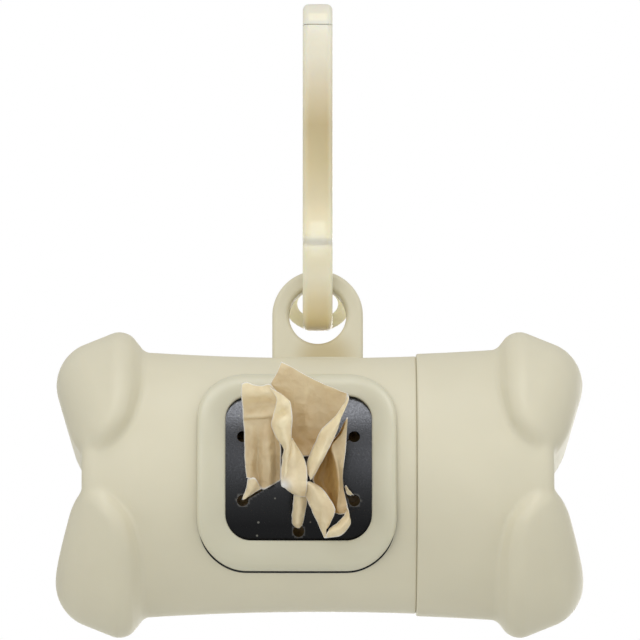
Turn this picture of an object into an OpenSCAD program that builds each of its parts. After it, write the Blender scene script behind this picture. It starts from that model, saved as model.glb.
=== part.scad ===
// Dog waste bag dispenser in the shape of a bone, hanging from its snap hook.
// Origin at the centre of the hook's bend, where a leash ring sits; +Z up, -Y to
// the front, and the barrel runs along X with its pull-off cap at the +X end.
// Places "along the barrel" are counted from the barrel's own middle.

/* [Barrel] */
// Room round the roll in the barrel, on the radius
roll_room = 2; // [1.2:0.1:3]
// Wall of the barrel at its waist
barrel_wall = 2.4; // [1.9:0.1:3]
// How much the barrel's radius grows from its waist to its bone ends
barrel_flare = 0.95; // [0.3:0.05:1.2]
// Distance from the middle of the barrel to the end face between two lobes
end_x = 38.3; // [36.5:0.1:39]
// Radius that rounds the edge of that end face
end_round = 2.2; // [1:0.1:3]
// Wall of the moulded bone ends
end_wall = 2; // [1.4:0.1:2.2]

/* [Bone lobes] */
// Distance from the middle of the barrel to the foot of a lobe's shoulder
lobe_foot_x = 28.5; // [27:0.1:29.5]
// Distance from the middle of the barrel to the furthest point of a lobe
lobe_tip_x = 42.4; // [41:0.1:44]
// Height of a lobe's crown over the barrel beside it
lobe_h = 3.4; // [2.6:0.05:4.4]
// Half of the groove between the two lobes of one end
lobe_gap = 2.8; // [1.5:0.1:4]
// Rounding of the shoulder, nearest to the waist
shoulder_round = 3; // [2.4:0.1:3.6]
// Rounding of the tip
tip_round = 5.4; // [4.5:0.1:6.2]
// Rounding of the edge next to the groove
groove_round = 2.6; // [2.3:0.1:3.2]
// Height of the centre of the tip's rounding over the barrel's axis
tip_h = 16.4; // [15:0.1:18]
// How far the shoulder's lower corner is cut back
corner_cut = 4; // [3:0.1:7]
// Lean of the end face from the groove out to the tip
end_lean = 17; // [10:0.5:22]

/* [Cap] */
// Place of the parting line along the barrel
parting_x = 15.9; // [14:0.1:17]
// How much larger the cap is than the barrel beside it
cap_step = 0.4; // [0:0.05:0.8]
// Rounding of both edges at the parting line
parting_round = 0.5; // [0.2:0.05:0.8]
// Length of the neck that the cap slides over
neck_l = 6.5; // [4:0.1:8]
// How far the neck steps in from the barrel's waist
neck_step = 0.95; // [0.8:0.05:1.2]
// Gap between the neck and the cap, on the radius
neck_clear = 0.1; // [0.05:0.05:0.2]
// Width of the parting gap
parting_gap = 0.15; // [0.1:0.05:0.4]
// Wall of the cap behind the neck, as at the barrel's waist
cap_wall = 1.8; // [1.4:0.1:2.2]

/* [Window] */
// Middle of the window along the barrel
window_x = -3.5; // [-6:0.1:-1]
// Outer width and height of the bezel
bezel_w = 31.9; // [29:0.1:33]
// Radius of the bezel's outer corners
bezel_corner = 7.8; // [6:0.1:10]
// Width and height of the bezel's opening
opening_w = 23.5; // [21:0.1:25]
// Radius of the opening's corners
opening_corner = 4.8; // [3:0.1:6]
// How far the bezel stands over the barrel
bezel_h = 1.6; // [1:0.1:2.2]
// Gap between the bezel and the barrel
bezel_clear = 0.1; // [0.05:0.05:0.3]
// Radius of the bezel's fixing pegs
peg_r = 0.8; // [0.5:0.1:0.9]
// Length of the pegs under the bezel
peg_l = 3; // [2:0.1:4]
// Gap between a peg and its hole, on the radius
peg_clear = 0.05; // [0.05:0.05:0.2]

/* [Membrane] */
// Thickness of the rubber membrane
membrane_t = 1; // [0.7:0.1:1.3]
// How far the membrane's rim reaches under the bezel
membrane_rim = 1.3; // [0.8:0.1:1.8]
// Gap round and under the membrane's rim
membrane_clear = 0.05; // [0.05:0.05:0.2]
// Number of slits in the star
slit_count = 6; // [4:1:8]
// Length of each slit from the centre of the star
slit_l = 10.3; // [8:0.1:10.6]
// Width of each slit
slit_w = 0.35; // [0.2:0.05:0.6]
// Radius of the stop hole at the end of each slit
slit_hole_r = 0.92; // [0.6:0.02:1.1]
// Radius of the middle, which the bag's film holds open
star_r = 2.1; // [1.7:0.1:3]

/* [Tab] */
// Middle of the hanging tab along the barrel
tab_x = -0.3; // [-3:0.1:3]
// Outer radius of the tab's arch
tab_r = 7.3; // [6.8:0.1:8]
// Radius of the hole through the tab
tab_hole_r = 4.4; // [4.2:0.1:4.6]
// Height of the middle of that hole over the barrel's waist
tab_rise = 6.9; // [6.4:0.1:7.6]
// Thickness of the tab
tab_t = 4.6; // [4:0.1:5]
// Rounding of the tab's edges
tab_round = 1.1; // [0.5:0.1:1.4]

/* [Snap hook] */
// Distance from the middle of the hook's bend down to the middle of the tab's arch
arch_drop = 36.05; // [35.8:0.05:37]
// Width of the hook along the barrel
hook_w = 4.8; // [4:0.1:5.4]
// Inner radius of the hook's bend
bend_r = 5.6; // [5:0.1:6.2]
// Thickness of the hook's stock
hook_t = 3.6; // [3:0.1:4]
// Height of the nose's end over the middle of the bend
nose_h = 5.2; // [4.4:0.1:5.3]
// Depth of the middle of the bridge that closes the hook over the eye
bridge_z = -30.6; // [-30.9:0.1:-28.5]
// Thickness of that bridge
bridge_t = 3.2; // [2.6:0.1:3.4]
// Rounding of the hook's long edges
hook_round = 1; // [0.4:0.1:1.05]

/* [Hook eye] */
// Outer radius of the eye's front bow
eye_r = 8; // [7.6:0.1:8.4]
// Thickness of the front bow and its leg
eye_t = 2.6; // [2.2:0.1:2.8]
// Height of the middle of the front bow over the middle of the tab's arch
eye_up = 0.15; // [-0.3:0.05:0.5]
// How far the middle of the front bow lies behind the hook's middle
eye_y = 1.2; // [0.8:0.1:1.6]
// Radius of the tail ring, to the middle of its stock
ring_r = 4.35; // [4:0.05:4.6]
// Radius of the tail ring's round stock
ring_stock_r = 1.05; // [0.9:0.05:1.15]
// Lean of the tail ring, back from upright
ring_lean = 32; // [28:1:36]
// Gap between the tab's back and the foot of the tail ring
ring_clear = 0.4; // [0.3:0.1:0.8]
// Running gap between the tab's arch and the saddle it hangs on
arch_clear = 0.35; // [0.3:0.05:0.5]

/* [Gate] */
// Thickness of the gate
gate_t = 2.2; // [1.8:0.1:2.6]
// Radius of the knuckle that the gate turns on
knuckle_r = 1.9; // [1.6:0.1:2.1]
// Height of the knuckle's middle over the middle of the bridge
knuckle_up = 1.1; // [0.8:0.1:1.6]
// Running gap round the knuckle
knuckle_clear = 0.1; // [0.05:0.05:0.2]
// Gap between the gate's tip and the nose
tip_clear = 0.3; // [0.2:0.1:0.6]

/* [Bag roll] */
// Outer radius of a full roll
roll_r = 16; // [14:0.1:16.5]
// Length of the roll
roll_l = 60; // [56:0.5:62]
// Gap between the roll and the bottom of the cavity
roll_clear = 0.3; // [0.2:0.1:0.6]
// Outer radius of the roll's tube
core_r = 6.5; // [5:0.1:8]
// Wall of the roll's tube
core_wall = 1; // [0.6:0.1:1.5]
// Gap between the film and its tube, on the radius
core_clear = 0.05; // [0.05:0.05:0.2]

/* [Bag end] */
// Radius of the film where it is gathered through the star
neck_film_r = 1.6; // [1:0.1:1.6]
// How far the film stands up over the middle of the star
film_h = 16.2; // [12:0.2:17]
// Half thickness of the crumpled film in front of the bezel
film_r = 1.3; // [0.8:0.1:1.6]
// Gap between the crumpled film and the bezel
film_clear = 1; // [0.5:0.1:2]

/* [Hidden] */

cream = [0.84, 0.81, 0.72];
pale_cream = [0.87, 0.85, 0.77];
black = [0.09, 0.09, 0.1];
tan = [0.84, 0.72, 0.55];
card = [0.72, 0.6, 0.45];

fine = 96;
hull_fine = 32;
profile_steps = 12;
corner_steps = 9;
side_steps = 9;
cut = 1;
far = 60;

// Radii of the barrel, from the roll outwards
cavity_r = roll_r + roll_room;
barrel_r = cavity_r + barrel_wall;
neck_r = barrel_r - neck_step;
cap_cavity_r = barrel_r - cap_wall;
lobe_crown_r = barrel_r + barrel_flare + lobe_h;

// The tab hangs in the hook's eye, and the barrel from the tab
tab_hole_h = barrel_r + tab_rise;
axis_drop = arch_drop + tab_hole_h + (tab_r + tab_hole_r) / 2;
eye_z = eye_up - arch_drop;

// Places along the barrel
bore_end_x = end_x - end_wall;
neck_end_x = parting_x + neck_l;
cap_face_x = parting_x + parting_gap;
roll_z = roll_r + roll_clear - cavity_r;

// Radii of the lobes' rings, from the crown, the tip and the groove
shoulder_x = lobe_foot_x + shoulder_round;
shoulder_ring = lobe_crown_r - shoulder_round;
flank_x = shoulder_x + shoulder_round;
flank_ring = shoulder_ring - 1.2;
tip_x = lobe_tip_x - tip_round;
groove_h = lobe_gap + groove_round;
groove_x = tip_x - (tip_h - groove_h) * tan(end_lean) + (tip_round - groove_round) / cos(end_lean);
groove_y = barrel_r + barrel_flare - groove_round;

// Hook
spine_y = bend_r + hook_t / 2;
outer_r = bend_r + hook_t;
knuckle_y = knuckle_r - outer_r;
knuckle_z = bridge_z + knuckle_up;
ring_foot_y = tab_t / 2 + ring_clear + ring_stock_r;
ring_foot_z = eye_z - eye_r + eye_t / 2;
ring_y = ring_foot_y + ring_r * sin(ring_lean);
ring_z = ring_foot_z + ring_r * cos(ring_lean);
ring_top_y = ring_foot_y + 2 * ring_r * sin(ring_lean);
ring_top_z = ring_foot_z + 2 * ring_r * cos(ring_lean);

// The tab's arch swings in a saddle that fills the inside of the eye's foot
arch_reach = norm([tab_t / 2 - tab_round, (tab_r - tab_hole_r) / 2 - tab_round]) + tab_round;
saddle_t = -arch_drop - ring_foot_z - arch_reach - arch_clear;

// Radius of the barrel at a place along it
function barrel_at(x) = barrel_r + barrel_flare * pow(min(abs(x), lobe_foot_x) / lobe_foot_x, 2);

// Points of an arc, from angle a0 to a1
function arc(c, r, a0, a1, n = 6) =
    [for (i = [0:n]) let(a = a0 + (a1 - a0) * i / n) [c[0] + r * cos(a), c[1] + r * sin(a)]];

// Outline of the barrel's outside between two places, as [radius, place]
function barrel_line(x0, x1, grow = 0) =
    [for (i = [0:profile_steps]) let(x = x0 + (x1 - x0) * i / profile_steps) [barrel_at(x) + grow, x]];

// Puts a shape drawn about the barrel's own middle in its place under the hook
module on_barrel() translate([-tab_x, 0, -axis_drop]) children();

// Turns the XY plane to face along X, so that Z runs along the barrel
module face_x() rotate([90, 0, 90]) children();

// Revolves an outline of [radius, place] about the barrel's axis
module revolved(points) face_x() rotate_extrude($fn = fine) polygon(points);

// Extrudes a flat shape in X and Z, drawn about the window's middle, to the front of the barrel
module to_front() translate([window_x, 0, 0]) rotate([90, 0, 0]) linear_extrude(far) children();

module rounded_square(w, r) {
    for (a = [0:90:270])
        rotate(a) translate([w / 2 - r, w / 2 - r]) circle(r, $fn = fine);
    square([w, w - 2 * r], center = true);
    square([w - 2 * r, w], center = true);
}

// One ring of a lobe: round stock bent about the barrel's axis, from one edge of the lobe to the other
module lobe_ring(x, ring, stock, low, wall) {
    start = asin(min(0.95, (low + stock) / ring));
    translate([x, 0, 0]) face_x() rotate(start)
        rotate_extrude(angle = 180 - 2 * start, $fn = 2 * hull_fine)
            translate([ring, 0]) circle(stock - wall, $fn = hull_fine);
}

// Upper lobe of the +X end, drawn about the barrel's axis; wall is left off all round for its hollow
module lobe(wall = 0) {
    hull() {
        lobe_ring(shoulder_x, shoulder_ring, shoulder_round, lobe_gap + corner_cut, wall);
        lobe_ring(flank_x, flank_ring, shoulder_round, lobe_gap, wall);
        translate([tip_x, 0, tip_h]) rotate([0, end_lean, 0]) translate([-tip_x, 0, -tip_h])
            lobe_ring(tip_x, tip_h, tip_round, lobe_gap, wall);
        for (side = [-1, 1])
            translate([groove_x, side * groove_y, groove_h]) sphere(groove_round - wall, $fn = hull_fine);
    }
}

// Both lobes of one end: side is 1 for the +X end and -1 for the other
module lobes(side, wall = 0) {
    mirror([side < 0 ? 1 : 0, 0, 0]) {
        lobe(wall);
        mirror([0, 0, 1]) lobe(wall);
    }
}

// Flat outline of the tab, from inside the barrel's wall up to the arch
module tab_edge() {
    translate([(tab_r + tab_hole_r) / 2, 0]) {
        w = tab_r - tab_hole_r;
        for (i = [-1, 1], j = [-1, 1])
            translate([i * (w / 2 - tab_round), j * (tab_t / 2 - tab_round)]) circle(tab_round, $fn = hull_fine);
        square([w, tab_t - 2 * tab_round], center = true);
        square([w - 2 * tab_round, tab_t], center = true);
    }
}

// Hanging tab: a round-edged ring on two legs, closed below the hole by a web
module tab() {
    foot = tab_hole_h - (barrel_r + cavity_r) / 2;
    translate([tab_x, 0, tab_hole_h]) {
        rotate([90, 0, 0]) rotate_extrude($fn = fine) tab_edge();
        for (side = [0, 180])
            rotate([0, 0, side]) translate([0, 0, -foot]) linear_extrude(foot) tab_edge();
        rotate([90, 0, 0]) linear_extrude(tab_t, center = true) difference() {
            translate([0, -foot / 2]) square([2 * (tab_r - tab_round), foot], center = true);
            circle(tab_hole_r + tab_round, $fn = fine);
        }
    }
}

// Holes for the bezel's pegs, or the pegs themselves
module pegs(r, deep) {
    place = (bezel_w / 2 - bezel_corner) + (bezel_corner - 2 * peg_r) / sqrt(2);
    for (i = [-1, 1], j = [-1, 1])
        translate([window_x + i * place, deep - sqrt(pow(barrel_r, 2) - pow(place, 2)), j * place])
            rotate([90, 0, 0]) cylinder(h = deep + bezel_h / 2, r = r, $fn = fine / 2);
}

// Moulded barrel with its bone end, neck, window and tab
module body_shell() {
    color(cream) on_barrel() difference() {
        union() {
            revolved(concat(
                [[0, -end_x]],
                arc([barrel_at(end_x) - end_round, -end_x + end_round], end_round, -90, 0),
                barrel_line(-end_x + end_round + cut, parting_x - parting_round),
                arc([barrel_at(parting_x) - parting_round, parting_x - parting_round], parting_round, 0, 90),
                [[neck_r, parting_x], [neck_r, neck_end_x - 0.5], [neck_r - 0.4, neck_end_x], [0, neck_end_x]]));
            lobes(-1);
            tab();
        }
        revolved([[0, -bore_end_x], [cavity_r - end_round, -bore_end_x], [cavity_r, -bore_end_x + end_round],
                  [cavity_r, neck_end_x + cut], [0, neck_end_x + cut]]);
        lobes(-1, end_wall);
        to_front() rounded_square(opening_w, opening_corner);
        difference() {
            to_front()
                rounded_square(opening_w + 2 * (membrane_rim + membrane_clear), opening_corner + membrane_rim);
            revolved(concat([[0, -end_x]], barrel_line(-end_x, end_x, -membrane_t - 2 * membrane_clear), [[0, end_x]]));
        }
        pegs(peg_r + peg_clear, peg_l + cut);
    }
}

// Pull-off bone end that closes the barrel
module end_cap() {
    shelf_x = neck_end_x + 2 * parting_gap;
    face_r = barrel_at(cap_face_x) + cap_step;
    color(cream) on_barrel() difference() {
        union() {
            revolved(concat(
                [[0, cap_face_x]],
                arc([face_r - parting_round, cap_face_x + parting_round], parting_round, -90, 0),
                barrel_line(cap_face_x + parting_round + 0.1, end_x - end_round - cut, cap_step),
                arc([barrel_at(end_x) - end_round, end_x - end_round], end_round, 0, 90),
                [[0, end_x]]));
            lobes(1);
        }
        revolved([[0, cap_face_x - cut], [neck_r + neck_clear, cap_face_x - cut], [neck_r + neck_clear, shelf_x],
                  [cap_cavity_r, shelf_x], [cap_cavity_r, bore_end_x - end_round],
                  [cap_cavity_r - end_round, bore_end_x], [0, bore_end_x]]);
        lobes(1, end_wall);
    }
}

// Point number i of a rounded square: each quarter turn is a corner and then a side
function frame_point(i, w, r) =
    let(n = corner_steps + side_steps, k = i % n, side = w / 2 - r, a = 90 * min(1, k / corner_steps),
        t = max(0, k - corner_steps) / side_steps,
        p = [side * (1 - 2 * t) + r * cos(a), side + r * sin(a)], turn = 90 * floor(i / n))
    [p[0] * cos(turn) - p[1] * sin(turn), p[0] * sin(turn) + p[1] * cos(turn)];

// Height of the bezel over the barrel, across its band from 0 at the outer edge to 1 at the inner one
function band_h(s) = bezel_clear + (bezel_h - bezel_clear) * pow(1 - pow(abs(2 * s - 1), 2.6), 1 / 2.2);

// Raised frame that follows the barrel and clamps the membrane
module window_bezel() {
    round_steps = 4 * (corner_steps + side_steps);
    across = [0, 0.03, 0.09, 0.18, 0.32, 0.5, 0.68, 0.82, 0.91, 0.97, 1];
    band = concat([for (s = across) [s, band_h(s)]], [[0.66, bezel_clear], [0.33, bezel_clear]]);
    m = len(band);
    points = [for (i = [0:round_steps - 1], k = [0:m - 1])
        let(a = frame_point(i, bezel_w, bezel_corner), b = frame_point(i, opening_w, opening_corner),
            p = a + (b - a) * band[k][0], r = barrel_at(window_x + p[0]) + band[k][1])
        [window_x + p[0], -sqrt(r * r - p[1] * p[1]), p[1]]];
    faces = [for (i = [0:round_steps - 1], k = [0:m - 1], t = [0, 1])
        let(j = (i + 1) % round_steps, l = (k + 1) % m)
        t == 0 ? [i * m + k, j * m + l, j * m + k] : [i * m + k, i * m + l, j * m + l]];
    color(pale_cream) on_barrel() {
        polyhedron(points, faces);
        pegs(peg_r, peg_l);
    }
}

// Black rubber sheet with a star of slits, each ending in a round hole
module slit_membrane() {
    color(black) on_barrel() difference() {
        intersection() {
            to_front()
                rounded_square(opening_w + 2 * membrane_rim, opening_corner + membrane_rim);
            difference() {
                revolved(concat([[0, -end_x]], barrel_line(-end_x, end_x, -membrane_clear), [[0, end_x]]));
                revolved(concat([[0, -far]], barrel_line(-far, far, -membrane_clear - membrane_t), [[0, far]]));
            }
        }
        to_front() {
            circle(star_r, $fn = fine);
            for (i = [0:slit_count - 1])
                rotate(90 + 360 * i / slit_count) {
                    translate([0, -slit_w / 2]) square([slit_l, slit_w]);
                    translate([slit_l, 0]) circle(slit_hole_r, $fn = fine / 2);
                }
        }
    }
}

// Section of the hook's moulding: t thick, as wide as the hook, with rounded edges
module stock(t) {
    r = min(hook_round, 0.46 * t);
    for (i = [-1, 1], j = [-1, 1])
        translate([i * (t / 2 - r), j * (hook_w / 2 - r)]) circle(r, $fn = hull_fine);
    square([t, hook_w - 2 * r], center = true);
    square([t - 2 * r, hook_w], center = true);
}

// Moves to a point in Y and Z on the hook's middle plane, and turns XY to lie in that plane
module at_hook(p) translate([0, p[0], p[1]]) face_x() children();

// Straight bar of the hook from point a to point b
module bar(a, b, t) {
    d = b - a;
    at_hook(a) rotate(atan2(d[1], d[0])) face_x() linear_extrude(norm(d)) stock(t);
}

// Curved bar of the hook about point c, from angle a0 to a1
module bow(c, r, t, a0, a1) {
    at_hook(c) rotate(a0) rotate_extrude(angle = a1 - a0, $fn = fine) translate([r, 0]) stock(t);
}

// Rounded end or corner of a bar
module knob(p, t) {
    at_hook(p) rotate_extrude($fn = fine) intersection() {
        stock(t);
        translate([0, -hook_w]) square([t, 2 * hook_w]);
    }
}

// One-piece snap hook with the eye that links the tab
module clip_hook() {
    corner = [spine_y, bridge_z];
    leg_top = [knuckle_y, bridge_z - knuckle_up];
    leg_foot = [eye_y - eye_r + eye_t / 2, eye_z];
    color(pale_cream) {
        difference() {
            union() {
                difference() {
                    bow([0, 0], spine_y, hook_t, 0, 180);
                    translate([0, -far / 2, 0]) cube([far, far, 2 * nose_h], center = true);
                }
                bar([spine_y, 0], corner, hook_t);
                knob(corner, hook_t);
                bar(corner, leg_top, bridge_t);
                knob(leg_top, bridge_t);
                bar(leg_top, leg_foot, eye_t);
                bow([eye_y, eye_z], eye_r - eye_t / 2, eye_t, 180, 285);
                bow([0, -arch_drop], arch_reach + arch_clear + saddle_t / 2, saddle_t, 195, 292);
                bar(corner, [ring_top_y, ring_top_z], 2 * ring_stock_r);
            }
            at_hook([knuckle_y, knuckle_z])
                cylinder(h = 2 * hook_w, r = knuckle_r + knuckle_clear, center = true, $fn = fine);
        }
        translate([0, ring_y, ring_z]) rotate([90 - ring_lean, 0, 0])
            rotate_extrude($fn = fine) translate([ring_r, 0]) circle(ring_stock_r, $fn = hull_fine);
    }
}

// Springy gate that closes the mouth of the hook
module clip_gate() {
    knuckle = [knuckle_y, knuckle_z];
    strip_y = gate_t / 2 - outer_r;
    color(pale_cream) difference() {
        union() {
            knob(knuckle, 2 * knuckle_r);
            bar([strip_y, knuckle_z], [strip_y, 0], gate_t);
            mirror([0, 1, 0]) bow([0, 0], -strip_y, gate_t, 0, 45);
        }
        translate([0, -far / 2, nose_h - tip_clear + far / 2]) cube(far, center = true);
    }
}

// Tube inside the roll
module roll_core() {
    color(card) on_barrel() translate([-roll_l / 2, 0, roll_z]) face_x() difference() {
        cylinder(h = roll_l, r = core_r, $fn = fine);
        translate([0, 0, -cut]) cylinder(h = roll_l + 2 * cut, r = core_r - core_wall, $fn = fine);
    }
}

// Wound film of the bags
module bag_roll() {
    color(tan) on_barrel() translate([-roll_l / 2, 0, roll_z]) face_x() difference() {
        cylinder(h = roll_l, r = roll_r, $fn = fine);
        translate([0, 0, -cut]) cylinder(h = roll_l + 2 * cut, r = core_r + core_clear, $fn = fine);
    }
}

// Crumpled end of the next bag, gathered through the star and spread over the window
module bag_tail() {
    front = -(barrel_r + bezel_h + film_clear + film_r);
    upper = film_h * [[-0.16, 1], [-0.51, 0.8], [-0.53, 0.27], [-0.46, -0.1], [-0.15, -0.23], [0.5, 0.67]];
    lower = film_h * [[-0.15, -0.23], [0.46, 0.43], [0.5, -0.18], [0.46, -0.62], [0.26, -0.68]];
    color(tan) on_barrel() {
        translate([window_x, -roll_r - roll_clear, 0])
            rotate([90, 0, 0]) cylinder(h = -front - roll_r, r = neck_film_r, $fn = hull_fine);
        for (fold = [upper, lower])
            hull() for (p = fold)
                translate([window_x + p[0], front, p[1]]) sphere(film_r, $fn = hull_fine / 2);
    }
}

body_shell();
end_cap();
window_bezel();
slit_membrane();
clip_hook();
clip_gate();
roll_core();
bag_roll();
bag_tail();
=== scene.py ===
import math
import random

import bmesh
import bpy
import numpy as np
from mathutils import Matrix, Vector, noise


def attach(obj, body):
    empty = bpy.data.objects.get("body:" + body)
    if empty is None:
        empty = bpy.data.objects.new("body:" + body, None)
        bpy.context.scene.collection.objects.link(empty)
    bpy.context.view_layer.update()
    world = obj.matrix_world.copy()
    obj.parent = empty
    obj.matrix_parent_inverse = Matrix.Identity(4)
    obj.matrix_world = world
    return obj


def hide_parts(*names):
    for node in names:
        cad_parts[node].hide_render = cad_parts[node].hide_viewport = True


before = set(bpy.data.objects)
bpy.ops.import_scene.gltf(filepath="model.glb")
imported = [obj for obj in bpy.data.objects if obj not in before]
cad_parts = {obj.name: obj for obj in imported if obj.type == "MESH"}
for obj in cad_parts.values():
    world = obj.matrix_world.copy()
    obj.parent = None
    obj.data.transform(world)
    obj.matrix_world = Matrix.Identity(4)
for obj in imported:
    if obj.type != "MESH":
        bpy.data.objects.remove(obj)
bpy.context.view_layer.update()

# ---------------------------------------------------------------- studio
# A plain pale floor well below the hanging dispenser, a white backdrop that only the
# camera sees, and soft boxes above, in front, at both sides and behind. The long lens
# looks a little upwards at the window, as from just below it.

MM = 0.001
AIM = Vector((0.38, 0.0, -42.4)) * MM
CAMERA_DISTANCE = 1.3
CAMERA_TILT = math.radians(8.18)
VIEW_WIDTH = 103.2 * MM
SENSOR_WIDTH = 36
FLOOR_Z = -0.32
FLOOR_REACH = 6

camera_data = bpy.data.cameras.new("camera")
camera_data.sensor_width = SENSOR_WIDTH
camera_data.lens = SENSOR_WIDTH * CAMERA_DISTANCE / VIEW_WIDTH
camera = bpy.data.objects.new("camera", camera_data)
camera.location = AIM + CAMERA_DISTANCE * Vector((0, -math.cos(CAMERA_TILT), -math.sin(CAMERA_TILT)))
camera.rotation_euler = (math.radians(90) + CAMERA_TILT, 0, 0)
bpy.context.scene.collection.objects.link(camera)
bpy.context.scene.camera = camera
bpy.context.scene.view_settings.view_transform = "Standard"


def soft_box(name, place, size, watts):
    lamp = bpy.data.lights.new(name, "AREA")
    lamp.shape, lamp.size, lamp.size_y, lamp.energy = "RECTANGLE", size[0], size[1], watts
    box = bpy.data.objects.new(name, lamp)
    box.location = place
    box.rotation_euler = (AIM - Vector(place)).to_track_quat("-Z", "Y").to_euler()
    bpy.context.scene.collection.objects.link(box)


soft_box("top_box", (0.1, -0.5, 1.1), (0.7, 0.6), 4.6)
soft_box("front_box", (-0.5, -1.7, 0.35), (1.2, 1.2), 6.6)
soft_box("side_box", (1.2, -0.7, 0.1), (0.7, 1.0), 2.5)
soft_box("left_box", (-1.3, -0.6, 0.0), (0.7, 1.0), 2.2)
soft_box("back_box", (0.2, 1.5, -0.1), (1.2, 0.8), 8.0)


def add_node(tree, kind, values=(), **links):
    """Adds a shader node, sets its attributes and sockets from values, and links its inputs to
    sockets or to a node's result. #3 and i3 mean input 3; in a link's name _ stands for a space."""
    node = tree.nodes.new("ShaderNode" + kind)
    for name, value in dict(values).items():
        if hasattr(node, name):
            setattr(node, name, value)
        else:
            node.inputs[int(name[1:]) if name[0] == "#" else name].default_value = value
    for name, source in links.items():
        if isinstance(source, bpy.types.Node):
            source = next(output for output in source.outputs if output.enabled)
        numbered = name[0] == "i" and name[1:].isdigit()
        tree.links.new(source, node.inputs[int(name[1:]) if numbered else name.replace("_", " ")])
    return node


def linear(code):
    """An sRGB hex colour as linear red, green, blue and alpha."""
    parts = [int(code[i:i + 2], 16) / 255 for i in (0, 2, 4)]
    return (*[p / 12.92 if p <= 0.04045 else ((p + 0.055) / 1.055) ** 2.4 for p in parts], 1)


def empty_material(name):
    """A material and its node tree, with no nodes yet."""
    material = bpy.data.materials.new(name)
    material.use_nodes = True
    material.node_tree.nodes.clear()
    return material, material.node_tree


world = bpy.data.worlds.new("studio")
bpy.context.scene.world = world
world.use_nodes = True
sky = world.node_tree
sky.nodes.clear()
ray = add_node(sky, "LightPath").outputs
seen = add_node(sky, "Math", {"operation": "MAXIMUM"}, i0=ray["Is Camera Ray"], i1=ray["Is Transmission Ray"])
fill = add_node(sky, "Background", {"Color": linear("F1F1EE"), "Strength": 0.6})
white = add_node(sky, "Background", {"Color": linear("FFFFFF"), "Strength": 1.0})
both = add_node(sky, "MixShader", Fac=seen, i1=fill, i2=white)
add_node(sky, "OutputWorld", Surface=both)

paper, tree = empty_material("studio_paper")
ray = add_node(tree, "LightPath").outputs
matt = add_node(tree, "BsdfDiffuse", {"Color": linear("E9E9E6")})
glow = add_node(tree, "Emission", {"Color": linear("FFFFFF"), "Strength": 0.25})
lit = add_node(tree, "AddShader", i0=matt, i1=glow)
mixed = add_node(tree, "MixShader", Fac=ray["Is Camera Ray"], i1=matt, i2=lit)
add_node(tree, "OutputMaterial", Surface=mixed)

floor_mesh = bmesh.new()
bmesh.ops.create_grid(floor_mesh, x_segments=1, y_segments=1, size=FLOOR_REACH)
bmesh.ops.translate(floor_mesh, verts=floor_mesh.verts, vec=(0, 0, FLOOR_Z))
floor_data = bpy.data.meshes.new("floor")
floor_mesh.to_mesh(floor_data)
floor_mesh.free()
floor_data.materials.append(paper)
floor = bpy.data.objects.new("floor", floor_data)
bpy.context.scene.collection.objects.link(floor)

# ---------------------------------------------------------------- barrel
# The barrel with its left bone end, neck and hanging tab is one hollow shell, injection
# moulded in a cream ABS with a fine satin texture. Its lobes are soft pads that stand
# proud of the flared barrel, with a filleted foot and a valley between them on the end.

AXIS = Vector((0.3, 0, -69.2))  # the barrel's middle, in mm from the hook's bend
WAIST_R = 20.4
FLARE = 0.95  # how much the radius grows from the waist to FLARE_X
FLARE_X = 28.5
END_X = 37.7  # end face, in the valley between two lobes
END_ROUND = 2.2
WALL = 2.0
LOBE_X = 28.1  # shoulder of a lobe
LOBE_GAP = 2.1  # half of the valley
CROWN = (0.371, 0.928, 34.95)  # plane on a lobe's crown: its lean along X and outwards, its distance
FACE = (0.9563, -0.2924, 36.1)  # the same along X and Z for its end face
CORNER = (-0.707, -0.707, -23.7)  # and for the cut across its inner corner
TIP_ROUND = 6.4
SIDE_ROUND = 7.2
LOBE_ROUND = 2.2
LOBE_DRAFT = 0.78  # slope of its sides, over the height DRAFT_H
DRAFT_H = 5
FILLET = 0.6
BORE_R = 18.0
BORE_ROUND = 2.0
BORE_FILLET = 0.8
PARTING_X = 15.48
PARTING_ROUND = 0.3
NECK_R = 19.45
NECK_END_X = 22.4
EDGE = 0.15  # chamfer of the small edges
AROUND = 288


def barrel_at(x):
    return WAIST_R + FLARE * (np.minimum(np.abs(x), FLARE_X) / FLARE_X) ** 2


def rounded_inside(fields, radius):
    """Depth field of what lies inside every field, with its edges rounded."""
    deep = np.stack(np.broadcast_arrays(*fields))
    return np.minimum(-radius, deep.max(0)) + np.sqrt((np.maximum(deep + radius, 0) ** 2).sum(0))


def filleted(a, b, radius):
    """Depth field of two shapes moulded together, with a fillet where they meet."""
    reach = np.hypot(np.maximum(radius - a, 0), np.maximum(radius - b, 0))
    return np.maximum(radius, np.minimum(a, b)) - reach


def over_plane(plane, along, aside):
    """Depth field of a plane, from its lean along two measures and its distance."""
    return plane[0] * along + plane[1] * aside - plane[2]


def lobe_field(x, y, z, end_x, wall=0.0):
    """Depth field of the lobes of one bone end; wall is left off all round for their hollows."""
    r, z = np.hypot(y, z), np.abs(z)
    top = rounded_inside([over_plane(CROWN, x, r) + wall, over_plane(FACE, x, z) + wall], TIP_ROUND - wall)
    height = rounded_inside([r - barrel_at(x), x - end_x], END_ROUND)
    sides = rounded_inside([LOBE_X - x, LOBE_GAP - z, over_plane(CORNER, x, z)], SIDE_ROUND)
    drafted = (sides + LOBE_DRAFT * np.clip(height, 0, DRAFT_H)) / math.hypot(1, LOBE_DRAFT)
    return rounded_inside([top, drafted + wall], LOBE_ROUND - wall)


def bone_end(end_x, step=0.0):
    """The outside of a bone end as a depth field: the flared barrel, larger by step, and its lobes."""
    def field(x, y, z):
        core = rounded_inside([np.hypot(y, z) - barrel_at(x) - step, x - end_x], END_ROUND)
        return filleted(core, lobe_field(x, y, z, end_x), FILLET)
    return field


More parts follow.
